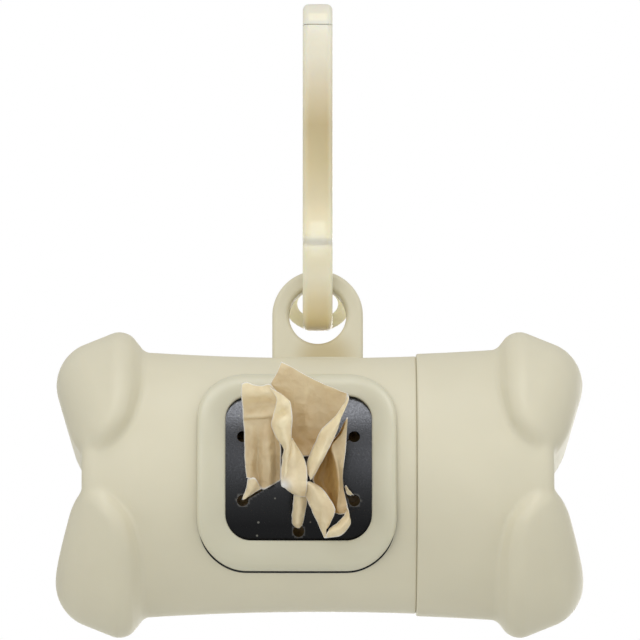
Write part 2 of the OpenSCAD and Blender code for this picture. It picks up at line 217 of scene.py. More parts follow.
def bone_hollow(end_x, bore):
    """The inside of a bone end as a depth field: the bore and the hollows of its lobes."""
    def field(x, y, z):
        core = rounded_inside([np.hypot(y, z) - bore, x - (end_x - WALL)], BORE_ROUND)
        return filleted(core, lobe_field(x, y, z, end_x, WALL), BORE_FILLET)
    return field


def ray_fan(corners):
    """Lines from inside a shell outwards, as [from x, from r, to x, to r]; each corner is a line
    and the number of lines that lead from it to the next one."""
    lines = []
    for (line, count), (following, _) in zip(corners, corners[1:]):
        lines += [np.array(line) + (np.array(following) - np.array(line)) * i / count for i in range(count)]
    return np.array(lines + [np.array(corners[-1][0], float)])


def spun(outline, steps, axis=(1, 0, 0), closed=True, near=1e-5):
    """Spins an outline drawn in XZ, or in XY for the Y axis, a full turn round the axis."""
    mesh = bmesh.new()
    verts = [mesh.verts.new(place) for place in outline]
    for a, b in zip(verts, verts[1:] + verts[:1] if closed else verts[1:]):
        mesh.edges.new((a, b))
    bmesh.ops.spin(mesh, geom=mesh.verts[:] + mesh.edges[:], cent=(0, 0, 0), axis=axis,
                   angle=math.tau, steps=steps, use_merge=True, use_duplicate=False)
    bmesh.ops.remove_doubles(mesh, verts=mesh.verts, dist=near)
    return mesh


def spun_shell(profile):
    """Spins a profile of [x, r] points, from pole to pole, round the barrel's axis."""
    return spun([(x, 0, r) for x, r in profile], AROUND, closed=False, near=1e-4)


def pull_to_surface(shell, lines, field):
    """Moves each vertex at the end of one of the lines back along it, to where the field first turns
    positive on the way out."""
    near, strides, halvings = 0.02, 89, 16
    places = np.array([v.co for v in shell.verts])
    r = np.hypot(places[:, 1], places[:, 2])
    gap = (places[:, None, 0] - lines[None, :, 2]) ** 2 + (r[:, None] - lines[None, :, 3]) ** 2
    which, chosen = gap.argmin(1), np.flatnonzero(gap.min(1) < near ** 2)
    line = lines[which[chosen]]
    turn = np.arctan2(places[chosen, 2], places[chosen, 1])

    def at(t):
        x = line[:, 0] + (line[:, 2] - line[:, 0]) * t
        ring = line[:, 1] + (line[:, 3] - line[:, 1]) * t
        return x, ring * np.cos(turn), ring * np.sin(turn)

    low, high, found = np.zeros(len(line)), np.ones(len(line)), np.zeros(len(line), bool)
    for t in np.linspace(0, 1, strides + 1)[1:]:
        outside = (field(*at(np.full(len(line), t))) > 0) & ~found
        high[outside], found[outside] = t, True
        low[~found] = t
    for _ in range(halvings):
        middle = (low + high) / 2
        outside = field(*at(middle)) > 0
        high[outside], low[~outside] = middle[outside], middle[~outside]
    x, y, z = at(high)
    shell.verts.ensure_lookup_table()
    for i, place in zip(chosen, zip(x, y, z)):
        shell.verts[i].co = place


def plain_line(x0, x1, count, outline):
    return [(x, outline(x)) for x in np.linspace(x0, x1, count)]


def parting_edge(x, r):
    """The quarter round from the outside of a shell down to its parting face at x."""
    turns = np.radians(np.linspace(90, 180, 7))
    return [(x + PARTING_ROUND * (1 + math.cos(a)), r + PARTING_ROUND * (math.sin(a) - 1)) for a in turns]


def in_place(shell, side=1):
    """Puts a mesh drawn in mm about the barrel's middle in its place; side -1 turns it to the left."""
    if side < 0:
        bmesh.ops.scale(shell, verts=shell.verts, vec=(-1, 1, 1))
    bmesh.ops.translate(shell, verts=shell.verts, vec=AXIS)
    bmesh.ops.scale(shell, verts=shell.verts, vec=(MM, MM, MM))
    bmesh.ops.recalc_face_normals(shell, faces=shell.faces)


def smoothed(piece, angle):
    """Shades a piece smooth, apart from edges sharper than an angle in degrees."""
    piece.data.shade_smooth()
    piece.data.set_sharp_from_angle(angle=math.radians(angle))


def piece_from(shell, name, smooth_angle=35):
    mesh = bpy.data.meshes.new(name)
    shell.to_mesh(mesh)
    shell.free()
    piece = bpy.data.objects.new(name, mesh)
    smoothed(piece, smooth_angle)
    bpy.context.scene.collection.objects.link(piece)
    return piece


def apply_modifiers(piece):
    bpy.context.view_layer.update()
    finished = bpy.data.meshes.new_from_object(piece.evaluated_get(bpy.context.evaluated_depsgraph_get()))
    piece.modifiers.clear()
    piece.data = finished


def combined(piece, other, how):
    """Joins another closed piece to this one, cuts it away, or keeps what they share, and removes it."""
    step = piece.modifiers.new(how, "BOOLEAN")
    step.operation, step.object, step.solver = how, other, "EXACT"
    apply_modifiers(piece)
    bpy.data.objects.remove(other)


# Each line of a fan starts inside a bone end and ends outside it.
OUTER_FAN = ray_fan([
    ((26.0, 15.0, 26.0, 24.0), 20), ((31.0, 15.5, 26.6, 25.0), 22), ((32.5, 16.0, 30.0, 28.0), 10),
    ((34.0, 16.0, 35.5, 28.0), 18), ((36.0, 14.5, 42.5, 26.0), 20), ((36.0, 12.5, 47.0, 16.5), 14),
    ((34.5, 8.0, 46.0, 9.5), 14), ((33.5, 3.5, 44.0, 3.8), 8), ((33.0, 0.0, 44.0, 0.0), 1)])
INNER_FAN = ray_fan([
    ((26.0, 12.0, 26.0, 24.5), 8), ((31.5, 14.0, 28.3, 25.0), 12), ((33.5, 14.5, 32.0, 26.0), 10),
    ((34.5, 12.5, 42.0, 24.0), 10), ((34.5, 11.0, 46.0, 15.0), 8), ((33.5, 6.0, 45.0, 7.0), 6),
    ((32.0, 0.0, 43.0, 0.0), 1)])
OUTER_LINE_X = 25.5  # the plain outlines stop short of the fans
INNER_LINE_X = 24.0


def bone_shell(outline, end_x, step, bore, side, name):
    """A hollow bone end on the rest of its shell's outline, which leads from its outside to its bore."""
    shell = spun_shell([*OUTER_FAN[::-1, 2:], *outline, *INNER_FAN[:, 2:]])
    pull_to_surface(shell, OUTER_FAN, bone_end(end_x, step))
    pull_to_surface(shell, INNER_FAN, bone_hollow(end_x, bore))
    in_place(shell, side)
    return piece_from(shell, name)


# The barrel is drawn with its bone end towards +X, and turned to the left in its place.
barrel_outline = (
    plain_line(OUTER_LINE_X, -PARTING_X + PARTING_ROUND, 44, barrel_at)
    + parting_edge(-PARTING_X, barrel_at(PARTING_X))
    + [(-PARTING_X, NECK_R + EDGE), (-PARTING_X - EDGE, NECK_R)]
    + plain_line(-PARTING_X - 0.5, -NECK_END_X + 0.5, 5, lambda x: NECK_R)
    + [(-NECK_END_X + 0.35, NECK_R - 0.05), (-NECK_END_X, NECK_R - 0.45)]
    + [(-NECK_END_X, BORE_R + 0.2), (-NECK_END_X + 0.2, BORE_R)]
    + plain_line(-NECK_END_X + 0.5, INNER_LINE_X, 30, lambda x: BORE_R))
barrel = bone_shell(barrel_outline, END_X, 0.0, BORE_R, -1, "moulded_barrel")

# The tab is a flat arch with rounded edges, swept as a ring round its hole. Its foot runs
# down into the barrel's wall.

TAB_X = -0.3
TAB_R = 7.3
TAB_T = 4.6
TAB_ROUND = 0.8
TAB_FOOT = 18.4
HOLE_R = 4.6
HOLE_H = 27.3
MOST_ROUND = 0.46  # a thin bar's rounding, as a share of its thickness


def bar_section(inner, outer, share, width, rounding):
    """A point of a bar's rounded section: across its side view, then in it, between its two edges."""
    inner, outer = Vector(inner), Vector(outer)
    thick = (outer - inner).length
    r = min(rounding, MOST_ROUND * thick)
    bent = 0.6  # share of the points of a quarter of the section that lie on its corner
    quarter, part = int(share * 4) % 4, share * 4 - int(share * 4)
    a = math.radians(90 * (quarter + min(1, part / bent)))
    slide = max(0, part - bent) / (1 - bent)
    corners = ((1, 1), (-1, 1), (-1, -1), (1, -1), (1, 1))
    here, there = corners[quarter], corners[quarter + 1]
    x = (width / 2 - r) * (here[0] + (there[0] - here[0]) * slide) + r * math.cos(a)
    t = (thick / 2 - r) * (here[1] + (there[1] - here[1]) * slide) + r * math.sin(a)
    return x, *(inner + (outer - inner) * (0.5 + t / thick))


def gridded(mesh, across, along, place):
    """Adds a sheet of across by along faces, each vertex where place puts its column and row."""
    made = bmesh.ops.create_grid(mesh, x_segments=across, y_segments=along, size=1)["verts"]
    for vert in made:
        u, v = round((vert.co.x + 1) / 2 * across), round((vert.co.y + 1) / 2 * along)
        vert.co = place(vert, u, v)
    bmesh.ops.remove_doubles(mesh, verts=made, dist=1e-4)


def swept_bar(edges, width, rounding, around, closed=False):
    """A bar through pairs of [inner edge, outer edge] points of its side view."""
    bar = bmesh.new()
    gridded(bar, around, len(edges) - (0 if closed else 1), lambda vert, u, v: bar_section(
        *edges[v % len(edges)], u % around / around, width, rounding))
    if not closed:
        bmesh.ops.holes_fill(bar, edges=[e for e in bar.edges if e.is_boundary], sides=0)
    bmesh.ops.recalc_face_normals(bar, faces=bar.faces)
    return bar


def tab_edges(turn):
    """A point on the edge of the tab's hole, and the one straight out from it on the tab's outline."""
    c, s = math.cos(turn), math.sin(turn)
    reach = TAB_R if s >= 0 else min(TAB_R / max(abs(c), 1e-6), (HOLE_H - TAB_FOOT) / abs(s))
    return (HOLE_R * c, HOLE_R * s), (reach * c, reach * s)


tab_mesh = swept_bar([tab_edges(math.tau * i / 128) for i in range(128)], TAB_T, TAB_ROUND, 40, closed=True)
for vert in tab_mesh.verts:
    y, x, z = vert.co
    vert.co = (TAB_X + x, y, HOLE_H + z)
in_place(tab_mesh)
combined(barrel, piece_from(tab_mesh, "tab"), "UNION")

# The window is cut a little larger than the rim of the rubber sheet that sits in it.

WINDOW_X = -3.3
WINDOW_Z = 0.6
OPENING_W = 23.2
OPENING_CORNER = 4.0
RIM = 1.3
RIM_CLEAR = 0.05
WINDOW_CUT = (-26, -8)  # along Y, from before the wall to behind it


def thickened(mesh, faces, depth):
    """Extrudes faces along Y into a closed block."""
    grown = bmesh.ops.extrude_face_region(mesh, geom=faces)["geom"]
    moved = [part for part in grown if isinstance(part, bmesh.types.BMVert)]
    bmesh.ops.translate(mesh, verts=moved, vec=(0, depth, 0))
    bmesh.ops.recalc_face_normals(mesh, faces=mesh.faces)


def prism(outline, near, far):
    """A closed block over an outline in X and Z, from one place along Y to another."""
    mesh = bmesh.new()
    lid = mesh.faces.new([mesh.verts.new((x, near, z)) for x, z in outline])
    thickened(mesh, [lid], far - near)
    return mesh


def rounded_square(width, corner):
    """The corners, in X and Z, of a rounded square about the window's middle."""
    side = width / 2 - corner
    outline = []
    for quarter in range(4):
        across, up = (side, -side, -side, side)[quarter], (side, side, -side, -side)[quarter]
        for a in np.radians(np.linspace(90 * quarter, 90 * quarter + 90, 13)):
            outline.append((WINDOW_X + across + corner * math.cos(a), WINDOW_Z + up + corner * math.sin(a)))
    return outline


cutter = prism(rounded_square(OPENING_W + 2 * (RIM + RIM_CLEAR), OPENING_CORNER + RIM), *WINDOW_CUT)
in_place(cutter)
combined(barrel, piece_from(cutter, "window_cutter"), "DIFFERENCE")
smoothed(barrel, 35)
level = barrel.modifiers.new("level", "WEIGHTED_NORMAL")
level.keep_sharp = True
apply_modifiers(barrel)

# A painted warm shade darkens the tab's foot, for the shade where it rises from the barrel and the light that
# comes through the tab; it ends at the barrel's top.
TAB_FOOT_SHADE_AT = Vector((1.2, 0, -49.0))
TAB_FOOT_SHADE_FULL = 2.5
TAB_FOOT_SHADE_REACH = 6.5
TAB_FOOT_SHADE_TOP = -48.72


def moulded_plastic(name, colour, roughness, texture_height, translucency):
    """Injection-moulded cream ABS: an even colour with faint flow clouds and a painted warm shade at
    the tab's foot, a fine spark-eroded texture of about 0.25 mm that breaks up its highlights, and a soft
    satin gloss."""
    material, tree = empty_material(name)
    at = add_node(tree, "TexCoord").outputs["Object"]
    clouds = add_node(tree, "TexNoise", {"Scale": 1 / (14 * MM), "Detail": 3.0}, Vector=at)
    shade = add_node(tree, "MapRange", {"#1": 0.3, "#2": 0.7, "#3": 0.975, "#4": 1.02}, i0=clouds)
    # Painted warm shade round the tab's foot, only above the barrel's top.
    apart = add_node(tree, "VectorMath", {"operation": "DISTANCE", "#1": tuple(TAB_FOOT_SHADE_AT * MM)}, i0=at)
    near = add_node(tree, "MapRange", {"interpolation_type": "SMOOTHSTEP", "#1": TAB_FOOT_SHADE_REACH * MM,
                                       "#2": TAB_FOOT_SHADE_FULL * MM, "#3": 0.0, "#4": 0.8}, i0=apart)
    place = add_node(tree, "SeparateXYZ", Vector=at).outputs
    on_tab = add_node(tree, "Math", {"operation": "GREATER_THAN", "#1": TAB_FOOT_SHADE_TOP * MM}, i0=place["Z"])
    tab_foot_shade = add_node(tree, "Math", {"operation": "MULTIPLY"}, i0=near, i1=on_tab)
    toned = add_node(tree, "Mix", {"data_type": "RGBA", "#6": linear(colour), "#7": linear("BFAE82")},
                     i0=tab_foot_shade)
    tint = add_node(tree, "VectorMath", {"operation": "SCALE"}, i0=toned, Scale=shade)
    grain = add_node(tree, "TexNoise", {"Scale": 1 / (0.25 * MM), "Detail": 2.0}, Vector=at)
    gloss = add_node(tree, "MapRange", {"#1": 0.3, "#2": 0.7, "#3": roughness - 0.04, "#4": roughness + 0.05},
                     i0=grain)
    bump = add_node(tree, "Bump", {"Strength": 0.5, "Distance": texture_height * MM}, Height=grain)
    skin = add_node(tree, "BsdfPrincipled", {
        "IOR": 1.53, "Subsurface Weight": translucency, "Subsurface Radius": (1.0, 0.8, 0.5),
        "Subsurface Scale": 1.5 * MM}, Base_Color=tint, Roughness=gloss, Normal=bump)
    add_node(tree, "OutputMaterial", Surface=skin)
    return material


def coat(piece, material):
    """Gives a piece one material, also where others were joined to it."""
    piece.data.materials.clear()
    piece.data.materials.append(material)


satin_abs = moulded_plastic("satin_cream_abs", "D9D3BC", 0.52, 0.014, 0.1)
coat(barrel, satin_abs)
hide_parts("body_shell")
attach(barrel, "dispenser")

# ---------------------------------------------------------------- cap
# The right bone end is a cap of the same cream ABS that pushes on over the neck. It is
# a touch larger than the barrel beside it, and both edges at the parting are rounded.

CAP_STEP = 0.4
CAP_FACE_X = 15.5
CAP_END_X = 37.2
CAP_BORE_R = 18.6
SHELF_X = 22.7
SOCKET_R = NECK_R + 0.1

cap_outline = (
    plain_line(OUTER_LINE_X, CAP_FACE_X + PARTING_ROUND, 16, lambda x: barrel_at(x) + CAP_STEP)
    + parting_edge(CAP_FACE_X, barrel_at(CAP_FACE_X) + CAP_STEP)
    + [(CAP_FACE_X, SOCKET_R + 0.25), (CAP_FACE_X + 0.25, SOCKET_R)]
    + plain_line(CAP_FACE_X + 0.6, SHELF_X - 0.1, 6, lambda x: SOCKET_R)
    + [(SHELF_X, SOCKET_R - 0.1), (SHELF_X, CAP_BORE_R + EDGE)]
    + [(SHELF_X + EDGE, CAP_BORE_R), (INNER_LINE_X, CAP_BORE_R)])
cap = bone_shell(cap_outline, CAP_END_X, CAP_STEP, CAP_BORE_R, 1, "bone_end_cap")
coat(cap, satin_abs)
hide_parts("end_cap")
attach(cap, "cap")

# ---------------------------------------------------------------- window frame
# A rounded-square frame of paler cream ABS is pegged on over the membrane and clamps it.
# Its crowned band follows the barrel. A narrow shadow gap runs under its outer edge, and
# it stands off a little more at the lower corners.

FRAME_X = -3.6
FRAME_Z = 0.3
FRAME_W = 31.6
FRAME_CORNER = 7.8
FRAME_H = 1.6
FOOT_H = -0.04  # its foot sits a hair inside the barrel's surface
LIP = 0.26  # share of the band that the shadow gap runs under
LIP_GAP = 0.34
OUTER_HALF = 0.2
STANDS_OFF_RIGHT = 0.55
STANDS_OFF_LEFT = 0.16
STANDS_OFF_LESS = 0.6  # at its inner edge
CORNER_SHARE = 0.46  # share of a quarter turn that is spent on a rounded corner


def around_square(turn, width, corner):
    """Where a rounded square in X and Z is met after a given share of a full turn."""
    quarter = int(turn * 4) % 4
    part = turn * 4 - int(turn * 4)
    a = math.radians(90 * min(1, part / CORNER_SHARE))
    along = max(0, part - CORNER_SHARE) / (1 - CORNER_SHARE)
    side = width / 2 - corner
    x, z = side * (1 - 2 * along) + corner * math.cos(a), side + corner * math.sin(a)
    for _ in range(quarter):
        x, z = -z, x
    return x, z


def on_front(x, z, over):
    """A point in front of the barrel's axis, at a height over the barrel's outside."""
    return Vector((x, -math.sqrt((float(barrel_at(x)) + over) ** 2 - z * z), z))


def towards(value, start, end):
    """Rises softly from 0 at start to 1 at end."""
    t = min(1, max(0, (value - start) / (end - start)))
    return t * t * (3 - 2 * t)


def band_round_window(profile, swell=0.0):
    """Spins a profile of [share of the way in, height] and lays it round the window on the barrel.
    Its outer half swells out by a share along the bottom."""
    ring = spun([(2 - share, -height, 0) for share, height in profile], AROUND, axis=(0, 1, 0))
    for vert in ring.verts:
        turn = (math.atan2(vert.co.z, vert.co.x) / math.tau + 1) % 1.0
        share, over = 2 - math.hypot(vert.co.x, vert.co.z), -vert.co.y
        outer_x, outer_z = around_square(turn, FRAME_W, FRAME_CORNER)
        inner_x, inner_z = around_square(turn, OPENING_W, OPENING_CORNER)
        if share < OUTER_HALF:
            share -= swell * towards(-outer_z, 6, 14)
        x = (FRAME_X + outer_x) * (1 - share) + (WINDOW_X + inner_x) * share
        z = (FRAME_Z + outer_z) * (1 - share) + (WINDOW_Z + inner_z) * share
        if over > 0:
            stands_off = STANDS_OFF_RIGHT * towards(x, 2, 11.5) + STANDS_OFF_LEFT * towards(-x, 10, 18)
            over += towards(-z, 2, 14) * stands_off * (1 - STANDS_OFF_LESS * share)
        vert.co = on_front(x, z, over)
    in_place(ring)
    return ring


crown = [(0.0, LIP_GAP + 0.06), (0.004, 0.88), (0.02, 1.13), (0.05, 1.35), (0.09, 1.49), (0.14, 1.57),
         (0.2, FRAME_H), (0.3, 1.57), (0.42, 1.47), (0.55, 1.3), (0.68, 1.09), (0.8, 0.86), (0.9, 0.66),
         (0.96, 0.52), (0.99, 0.38), (1.0, 0.2)]
underside = [(1.0, FOOT_H), (LIP + 0.02, FOOT_H), (LIP, 0.02), (LIP, LIP_GAP - 0.03), (LIP - 0.01, LIP_GAP),
             (0.02, LIP_GAP)]
window_frame = piece_from(band_round_window(crown + underside), "window_frame", 50)
pale_abs = moulded_plastic("pale_cream_abs", "D2CEB8", 0.38, 0.008, 0.12)
coat(window_frame, pale_abs)
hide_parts("window_bezel")
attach(window_frame, "dispenser")

# ---------------------------------------------------------------- membrane
# A sheet of black silicone rubber, 1 mm thick, die-cut with six slits that end in round
# stop holes. The bags are pulled through the middle, which leaves the flaps between the
# slits lifted by different amounts, the lower ones most.

STAR_X = -3.32
STAR_Z = 0.2
STAR_R = 1.2  # hole that the bags have opened in the middle
SHEET_T = 1.0
SHEET_REACH = 14.5
SHEET_SINK = 0.05
SLITS = 6
SLIT_W = (0.24, 0.24, 0.6, 0.3, 0.5, 0.24)
SLIT_L = (10.2, 10.2, 10.2, 9.75, 10.2, 10.2)
STOP_R = 0.92
ON_SLIT = 0.03  # how near a slit's or a hole's edge a place still counts as cut
ON_HOLE = 0.04
FLAP_LIFTS = (0.3, 0.2, 1.5, 1.1, 0.3, 0.35)
FLAP_FOOT_R = 10.8
FLAP_TIP_R = 2.5
FLAP_BULGE = 0.28  # how much more a flap's middle lifts than its edges


def slit_ways(i):
    """The way that a slit runs out from the middle, and the way across it."""
    turn = math.radians(90 + 360 / SLITS * i)
    return Vector((math.cos(turn), math.sin(turn))), Vector((-math.sin(turn), math.cos(turn)))


def slit_outline(i):
    """A slit from the star's middle out, round its stop hole and back."""
    ray, side = slit_ways(i)
    half = SLIT_W[i] / 2
    start = math.asin(half / STOP_R)
    hole = [(math.cos(a), math.sin(a)) for a in np.linspace(math.pi + start, 3 * math.pi - start, 25)]
    return [ray * STAR_R - side * half,
            *[ray * (SLIT_L[i] + STOP_R * c) + side * STOP_R * s for c, s in hole],
            ray * STAR_R + side * half]


def on_cut(x, z):
    """Whether a place lies on the edge of a slit or of its stop hole."""
    for i in range(SLITS):
        ray, side = slit_ways(i)
        along, aside = ray.dot((x, z)), abs(side.dot((x, z)))
        on_slit = abs(aside - SLIT_W[i] / 2) < ON_SLIT and 0 < along < SLIT_L[i]
        on_hole = abs(math.hypot(along - SLIT_L[i], aside) - STOP_R) < ON_HOLE
        if on_slit or on_hole:
            return True
    return False


sheet = bmesh.new()
bmesh.ops.create_grid(sheet, x_segments=80, y_segments=80, size=SHEET_REACH)
bmesh.ops.rotate(sheet, verts=sheet.verts, matrix=Matrix.Rotation(math.radians(90), 3, "X"))
thickened(sheet, sheet.faces[:], SHEET_T)
membrane = piece_from(sheet, "slit_rubber_membrane")
outline = [around_square(i / 144, OPENING_W + 2 * RIM, OPENING_CORNER + RIM) for i in range(144)]
outline = [(x + WINDOW_X - STAR_X, z + WINDOW_Z - STAR_Z) for x, z in outline]
combined(membrane, piece_from(prism(outline, -1, SHEET_T + 1), "rim_cutter"), "INTERSECT")
star = [corner for i in range(SLITS) for corner in slit_outline(i)]
combined(membrane, piece_from(prism(star, -1, SHEET_T + 1), "star_cutter"), "DIFFERENCE")

rubber_mesh = bmesh.new()
rubber_mesh.from_mesh(membrane.data)
bmesh.ops.triangulate(rubber_mesh, faces=rubber_mesh.faces)
painted_edge_highlight = rubber_mesh.verts.layers.float.new("painted_edge_highlight")
for vert in rubber_mesh.verts:
    x, deep, z = vert.co
    # Painted highlight on the cut edges of the slits and stop holes, on the lower half only.
    vert[painted_edge_highlight] = float(z < 0 and on_cut(x, z))
    flap = (math.degrees(math.atan2(z, x)) - 90) % 360 / (360 / SLITS)
    bulge = 1 - FLAP_BULGE + FLAP_BULGE * math.sin(math.pi * (flap % 1))
    lift = FLAP_LIFTS[int(flap) % SLITS] * towards(math.hypot(x, z), FLAP_FOOT_R, FLAP_TIP_R) * bulge
    vert.co = on_front(STAR_X + x, STAR_Z + z, lift - SHEET_SINK - deep)
in_place(rubber_mesh)

# The sheet's edge is thicker where the frame clamps it. A black lip of it shows below the frame, swelling out
# at the lower corners: a dark sheet put in as painted shade for the shadow in the gap under the frame.
clamped = [(0.09, 0.0), (0.07, 0.03), (0.07, LIP_GAP - 0.06), (0.09, LIP_GAP - 0.02),
           (LIP - 0.03, LIP_GAP - 0.02), (LIP - 0.03, 0.0)]
painted_shade_lip = piece_from(band_round_window(clamped, 0.12), "painted_shade_lip")
rubber_mesh.from_mesh(painted_shade_lip.data)
bpy.data.objects.remove(painted_shade_lip)
rubber_mesh.to_mesh(membrane.data)
rubber_mesh.free()
smoothed(membrane, 40)

# Moulded silicone rubber: near black with a cool sheen whose specular level is painted stronger higher up, a
# grain of 0.3 mm, a little dust, and a painted grey highlight on the cut edges low down.
rubber, tree = empty_material("black_silicone_rubber")
at = add_node(tree, "TexCoord").outputs["Object"]
grain = add_node(tree, "TexNoise", {"Scale": 1 / (0.3 * MM), "Detail": 3.0, "Roughness": 0.65}, Vector=at)
smears = add_node(tree, "TexNoise", {"Scale": 1 / (5 * MM), "Detail": 2.0}, Vector=at)
gloss = add_node(tree, "MapRange", {"#1": 0.35, "#2": 0.7, "#3": 0.24, "#4": 0.44}, i0=grain)
dust = add_node(tree, "TexVoronoi", {"Scale": 1 / (2.3 * MM)}, Vector=at)
specks = add_node(tree, "MapRange", {"#1": 0.1, "#2": 0.06, "#3": 0.0, "#4": 0.5}, i0=dust)
tone = add_node(tree, "Mix", {"data_type": "RGBA", "#6": linear("050505"), "#7": linear("0A0A0A")},
                i0=smears)
dusty = add_node(tree, "Mix", {"data_type": "RGBA", "#7": linear("9A988F")}, i0=specks, i6=tone)
# Painted grey highlight along the lower cut edges.
cut = add_node(tree, "Attribute", {"attribute_name": "painted_edge_highlight"})
edge_highlight = add_node(tree, "Math", {"operation": "MULTIPLY", "#1": 0.7}, i0=cut.outputs["Fac"])
edged = add_node(tree, "Mix", {"data_type": "RGBA", "#7": linear("6E6C69")}, i0=edge_highlight, i6=dusty)
bump = add_node(tree, "Bump", {"Strength": 0.9, "Distance": 0.04 * MM}, Height=grain)
place = add_node(tree, "SeparateXYZ", Vector=at).outputs
# Painted sheen: the specular level rises from low down to higher up.
sheen_by_height = add_node(tree, "MapRange", {"#1": -78 * MM, "#2": -58 * MM, "#3": 0.16, "#4": 1.0}, i0=place["Z"])
skin = add_node(tree, "BsdfPrincipled", {"IOR": 1.6, "Specular Tint": linear("F2F5FF")}, Base_Color=edged,
                Roughness=gloss, Specular_IOR_Level=sheen_by_height, Normal=bump)
add_node(tree, "OutputMaterial", Surface=skin)
coat(membrane, rubber)
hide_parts("slit_membrane")
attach(membrane, "dispenser")

# ---------------------------------------------------------------- bag roll
# The bags are one long strip of thin tan film, wound on a card tube. The layers end in
# slightly uneven rings, and the outside has long soft wrinkles.

ROLL_R = 16.0
ROLL_L = 60.0
ROLL_DROP = -1.7  # the roll lies on the barrel's floor
TUBE_R = 6.57  # the card tube, with a hair of room
UNEVEN = 0.28  # how far the layers' ends are out of line
SOFT_END = 0.25  # length and depth of the eased edge at both ends
SOFT_EDGE = 0.1
WRINKLE = 0.16

layers = random.Random(4)
radii = np.linspace(TUBE_R, ROLL_R - 0.3, 32)
left = [(-ROLL_L / 2 + layers.uniform(0.0, UNEVEN), r) for r in radii]
right = [(ROLL_L / 2 - layers.uniform(0.0, UNEVEN), r) for r in radii[::-1]]
outside = plain_line(-ROLL_L / 2 + 0.7, ROLL_L / 2 - 0.7, 30, lambda x: ROLL_R)
inside = plain_line(ROLL_L / 2 - 1, -ROLL_L / 2 + 1, 6, lambda x: TUBE_R)
outline = [*left, (-ROLL_L / 2 + SOFT_END, ROLL_R - SOFT_EDGE), *outside,
           (ROLL_L / 2 - SOFT_END, ROLL_R - SOFT_EDGE), *right, *inside]
roll_mesh = spun([(x, 0, r) for x, r in outline], 144)
for vert in roll_mesh.verts:
    x, y, z = vert.co
    r = math.hypot(y, z)
    if r > ROLL_R - 0.5:
        dip = WRINKLE * (0.5 + 0.5 * noise.noise((x / 14, y / 2.6, z / 2.6)))
        vert.co = (x, y * (r - dip) / r, z * (r - dip) / r)
bmesh.ops.translate(roll_mesh, verts=roll_mesh.verts, vec=(0, 0, ROLL_DROP))
in_place(roll_mesh)
roll = piece_from(roll_mesh, "wound_bag_roll", 45)


def bag_film(name, colour, layers_and_shade_colour, see_through):
    """Blown biodegradable film: silky and crinkled, it lets light through, with painted shade that browns it
    where the attribute shade says, on deeper folds and where it lies in several layers, and a painted
    highlight along its edges and on a torn place (the attribute edge)."""
    material, tree = empty_material(name)
    at = add_node(tree, "TexCoord").outputs["Object"]
    # The attribute shade paints shade on the deeper folds of the bag end.
    depth = add_node(tree, "Attribute", {"attribute_name": "shade"}).outputs["Fac"]
    clouds = add_node(tree, "TexNoise", {"Scale": 1 / (3.5 * MM), "Detail": 3.0, "Distortion": 0.6},
                      Vector=at)
    tired = add_node(tree, "Math", {"operation": "MULTIPLY_ADD", "#1": 0.7, "#2": -0.35}, i0=clouds)
    amount = add_node(tree, "Math", {"operation": "ADD", "use_clamp": True}, i0=depth, i1=tired)
    tone = add_node(tree, "Mix", {"data_type": "RGBA", "#6": linear(colour), "#7": linear(layers_and_shade_colour)},
                    i0=amount)
    # Painted highlight: white along the film's edges and on the torn place.
    edge = add_node(tree, "Attribute", {"attribute_name": "edge"}).outputs["Fac"]
    tint = add_node(tree, "Mix", {"data_type": "RGBA", "#7": linear("FFFFFF")}, i0=edge, i6=tone)
    warp = add_node(tree, "TexNoise", {"Scale": 1 / (4 * MM), "Detail": 2.0}, Vector=at).outputs["Color"]
    shift = add_node(tree, "VectorMath", {"operation": "SCALE", "Scale": 3 * MM}, i0=warp)
    bent = add_node(tree, "VectorMath", {"operation": "ADD"}, i0=at, i1=shift)
    folds = add_node(tree, "TexNoise", {"Scale": 1 / (1.3 * MM), "Detail": 4.0, "Roughness": 0.6,
                                        "Distortion": 1.2}, Vector=at)
    facets = add_node(tree, "TexVoronoi", {"Scale": 1 / (1.9 * MM)}, Vector=bent)
    crinkles = add_node(tree, "Math", {"operation": "MULTIPLY_ADD", "#1": 0.5}, i0=folds, i2=facets)
    bump = add_node(tree, "Bump", {"Strength": 0.6, "Distance": 0.45 * MM}, Height=crinkles)
    skin = add_node(tree, "BsdfPrincipled", {"IOR": 1.5, "Roughness": 0.33}, Base_Color=tint, Normal=bump)
    through = add_node(tree, "BsdfTranslucent", Color=tint, Normal=bump)
    both = add_node(tree, "MixShader", {"#0": see_through}, i1=skin, i2=through)
    add_node(tree, "OutputMaterial", Surface=both)
    return material


coat(roll, bag_film("wound_tan_film", "B8955F", "7A5C38", 0.1))
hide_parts("bag_roll")
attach(roll, "roll")

# The tube is wound from strips of kraft card: dull, fibrous, with faint slanting joins.
card, tree = empty_material("spiral_card_tube")
at = add_node(tree, "TexCoord").outputs["Object"]
joins = add_node(tree, "TexWave", {"Scale": 1 / (20 * MM), "Distortion": 0.4, "bands_direction": "DIAGONAL"},
                 Vector=at)
fibres = add_node(tree, "TexNoise", {"Scale": 1 / (0.6 * MM), "Detail": 3.0}, Vector=at)
tone = add_node(tree, "Mix", {"data_type": "RGBA", "#6": linear("A98B62"), "#7": linear("BFA27A")},
                i0=fibres)
banded = add_node(tree, "Mix", {"data_type": "RGBA", "blend_type": "MULTIPLY", "#0": 0.15},
                  i6=tone, i7=joins)
bump = add_node(tree, "Bump", {"Strength": 0.5, "Distance": 0.05 * MM}, Height=fibres)
skin = add_node(tree, "BsdfPrincipled", {"Roughness": 0.85}, Base_Color=banded, Normal=bump)
add_node(tree, "OutputMaterial", Surface=skin)
coat(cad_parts["roll_core"], card)
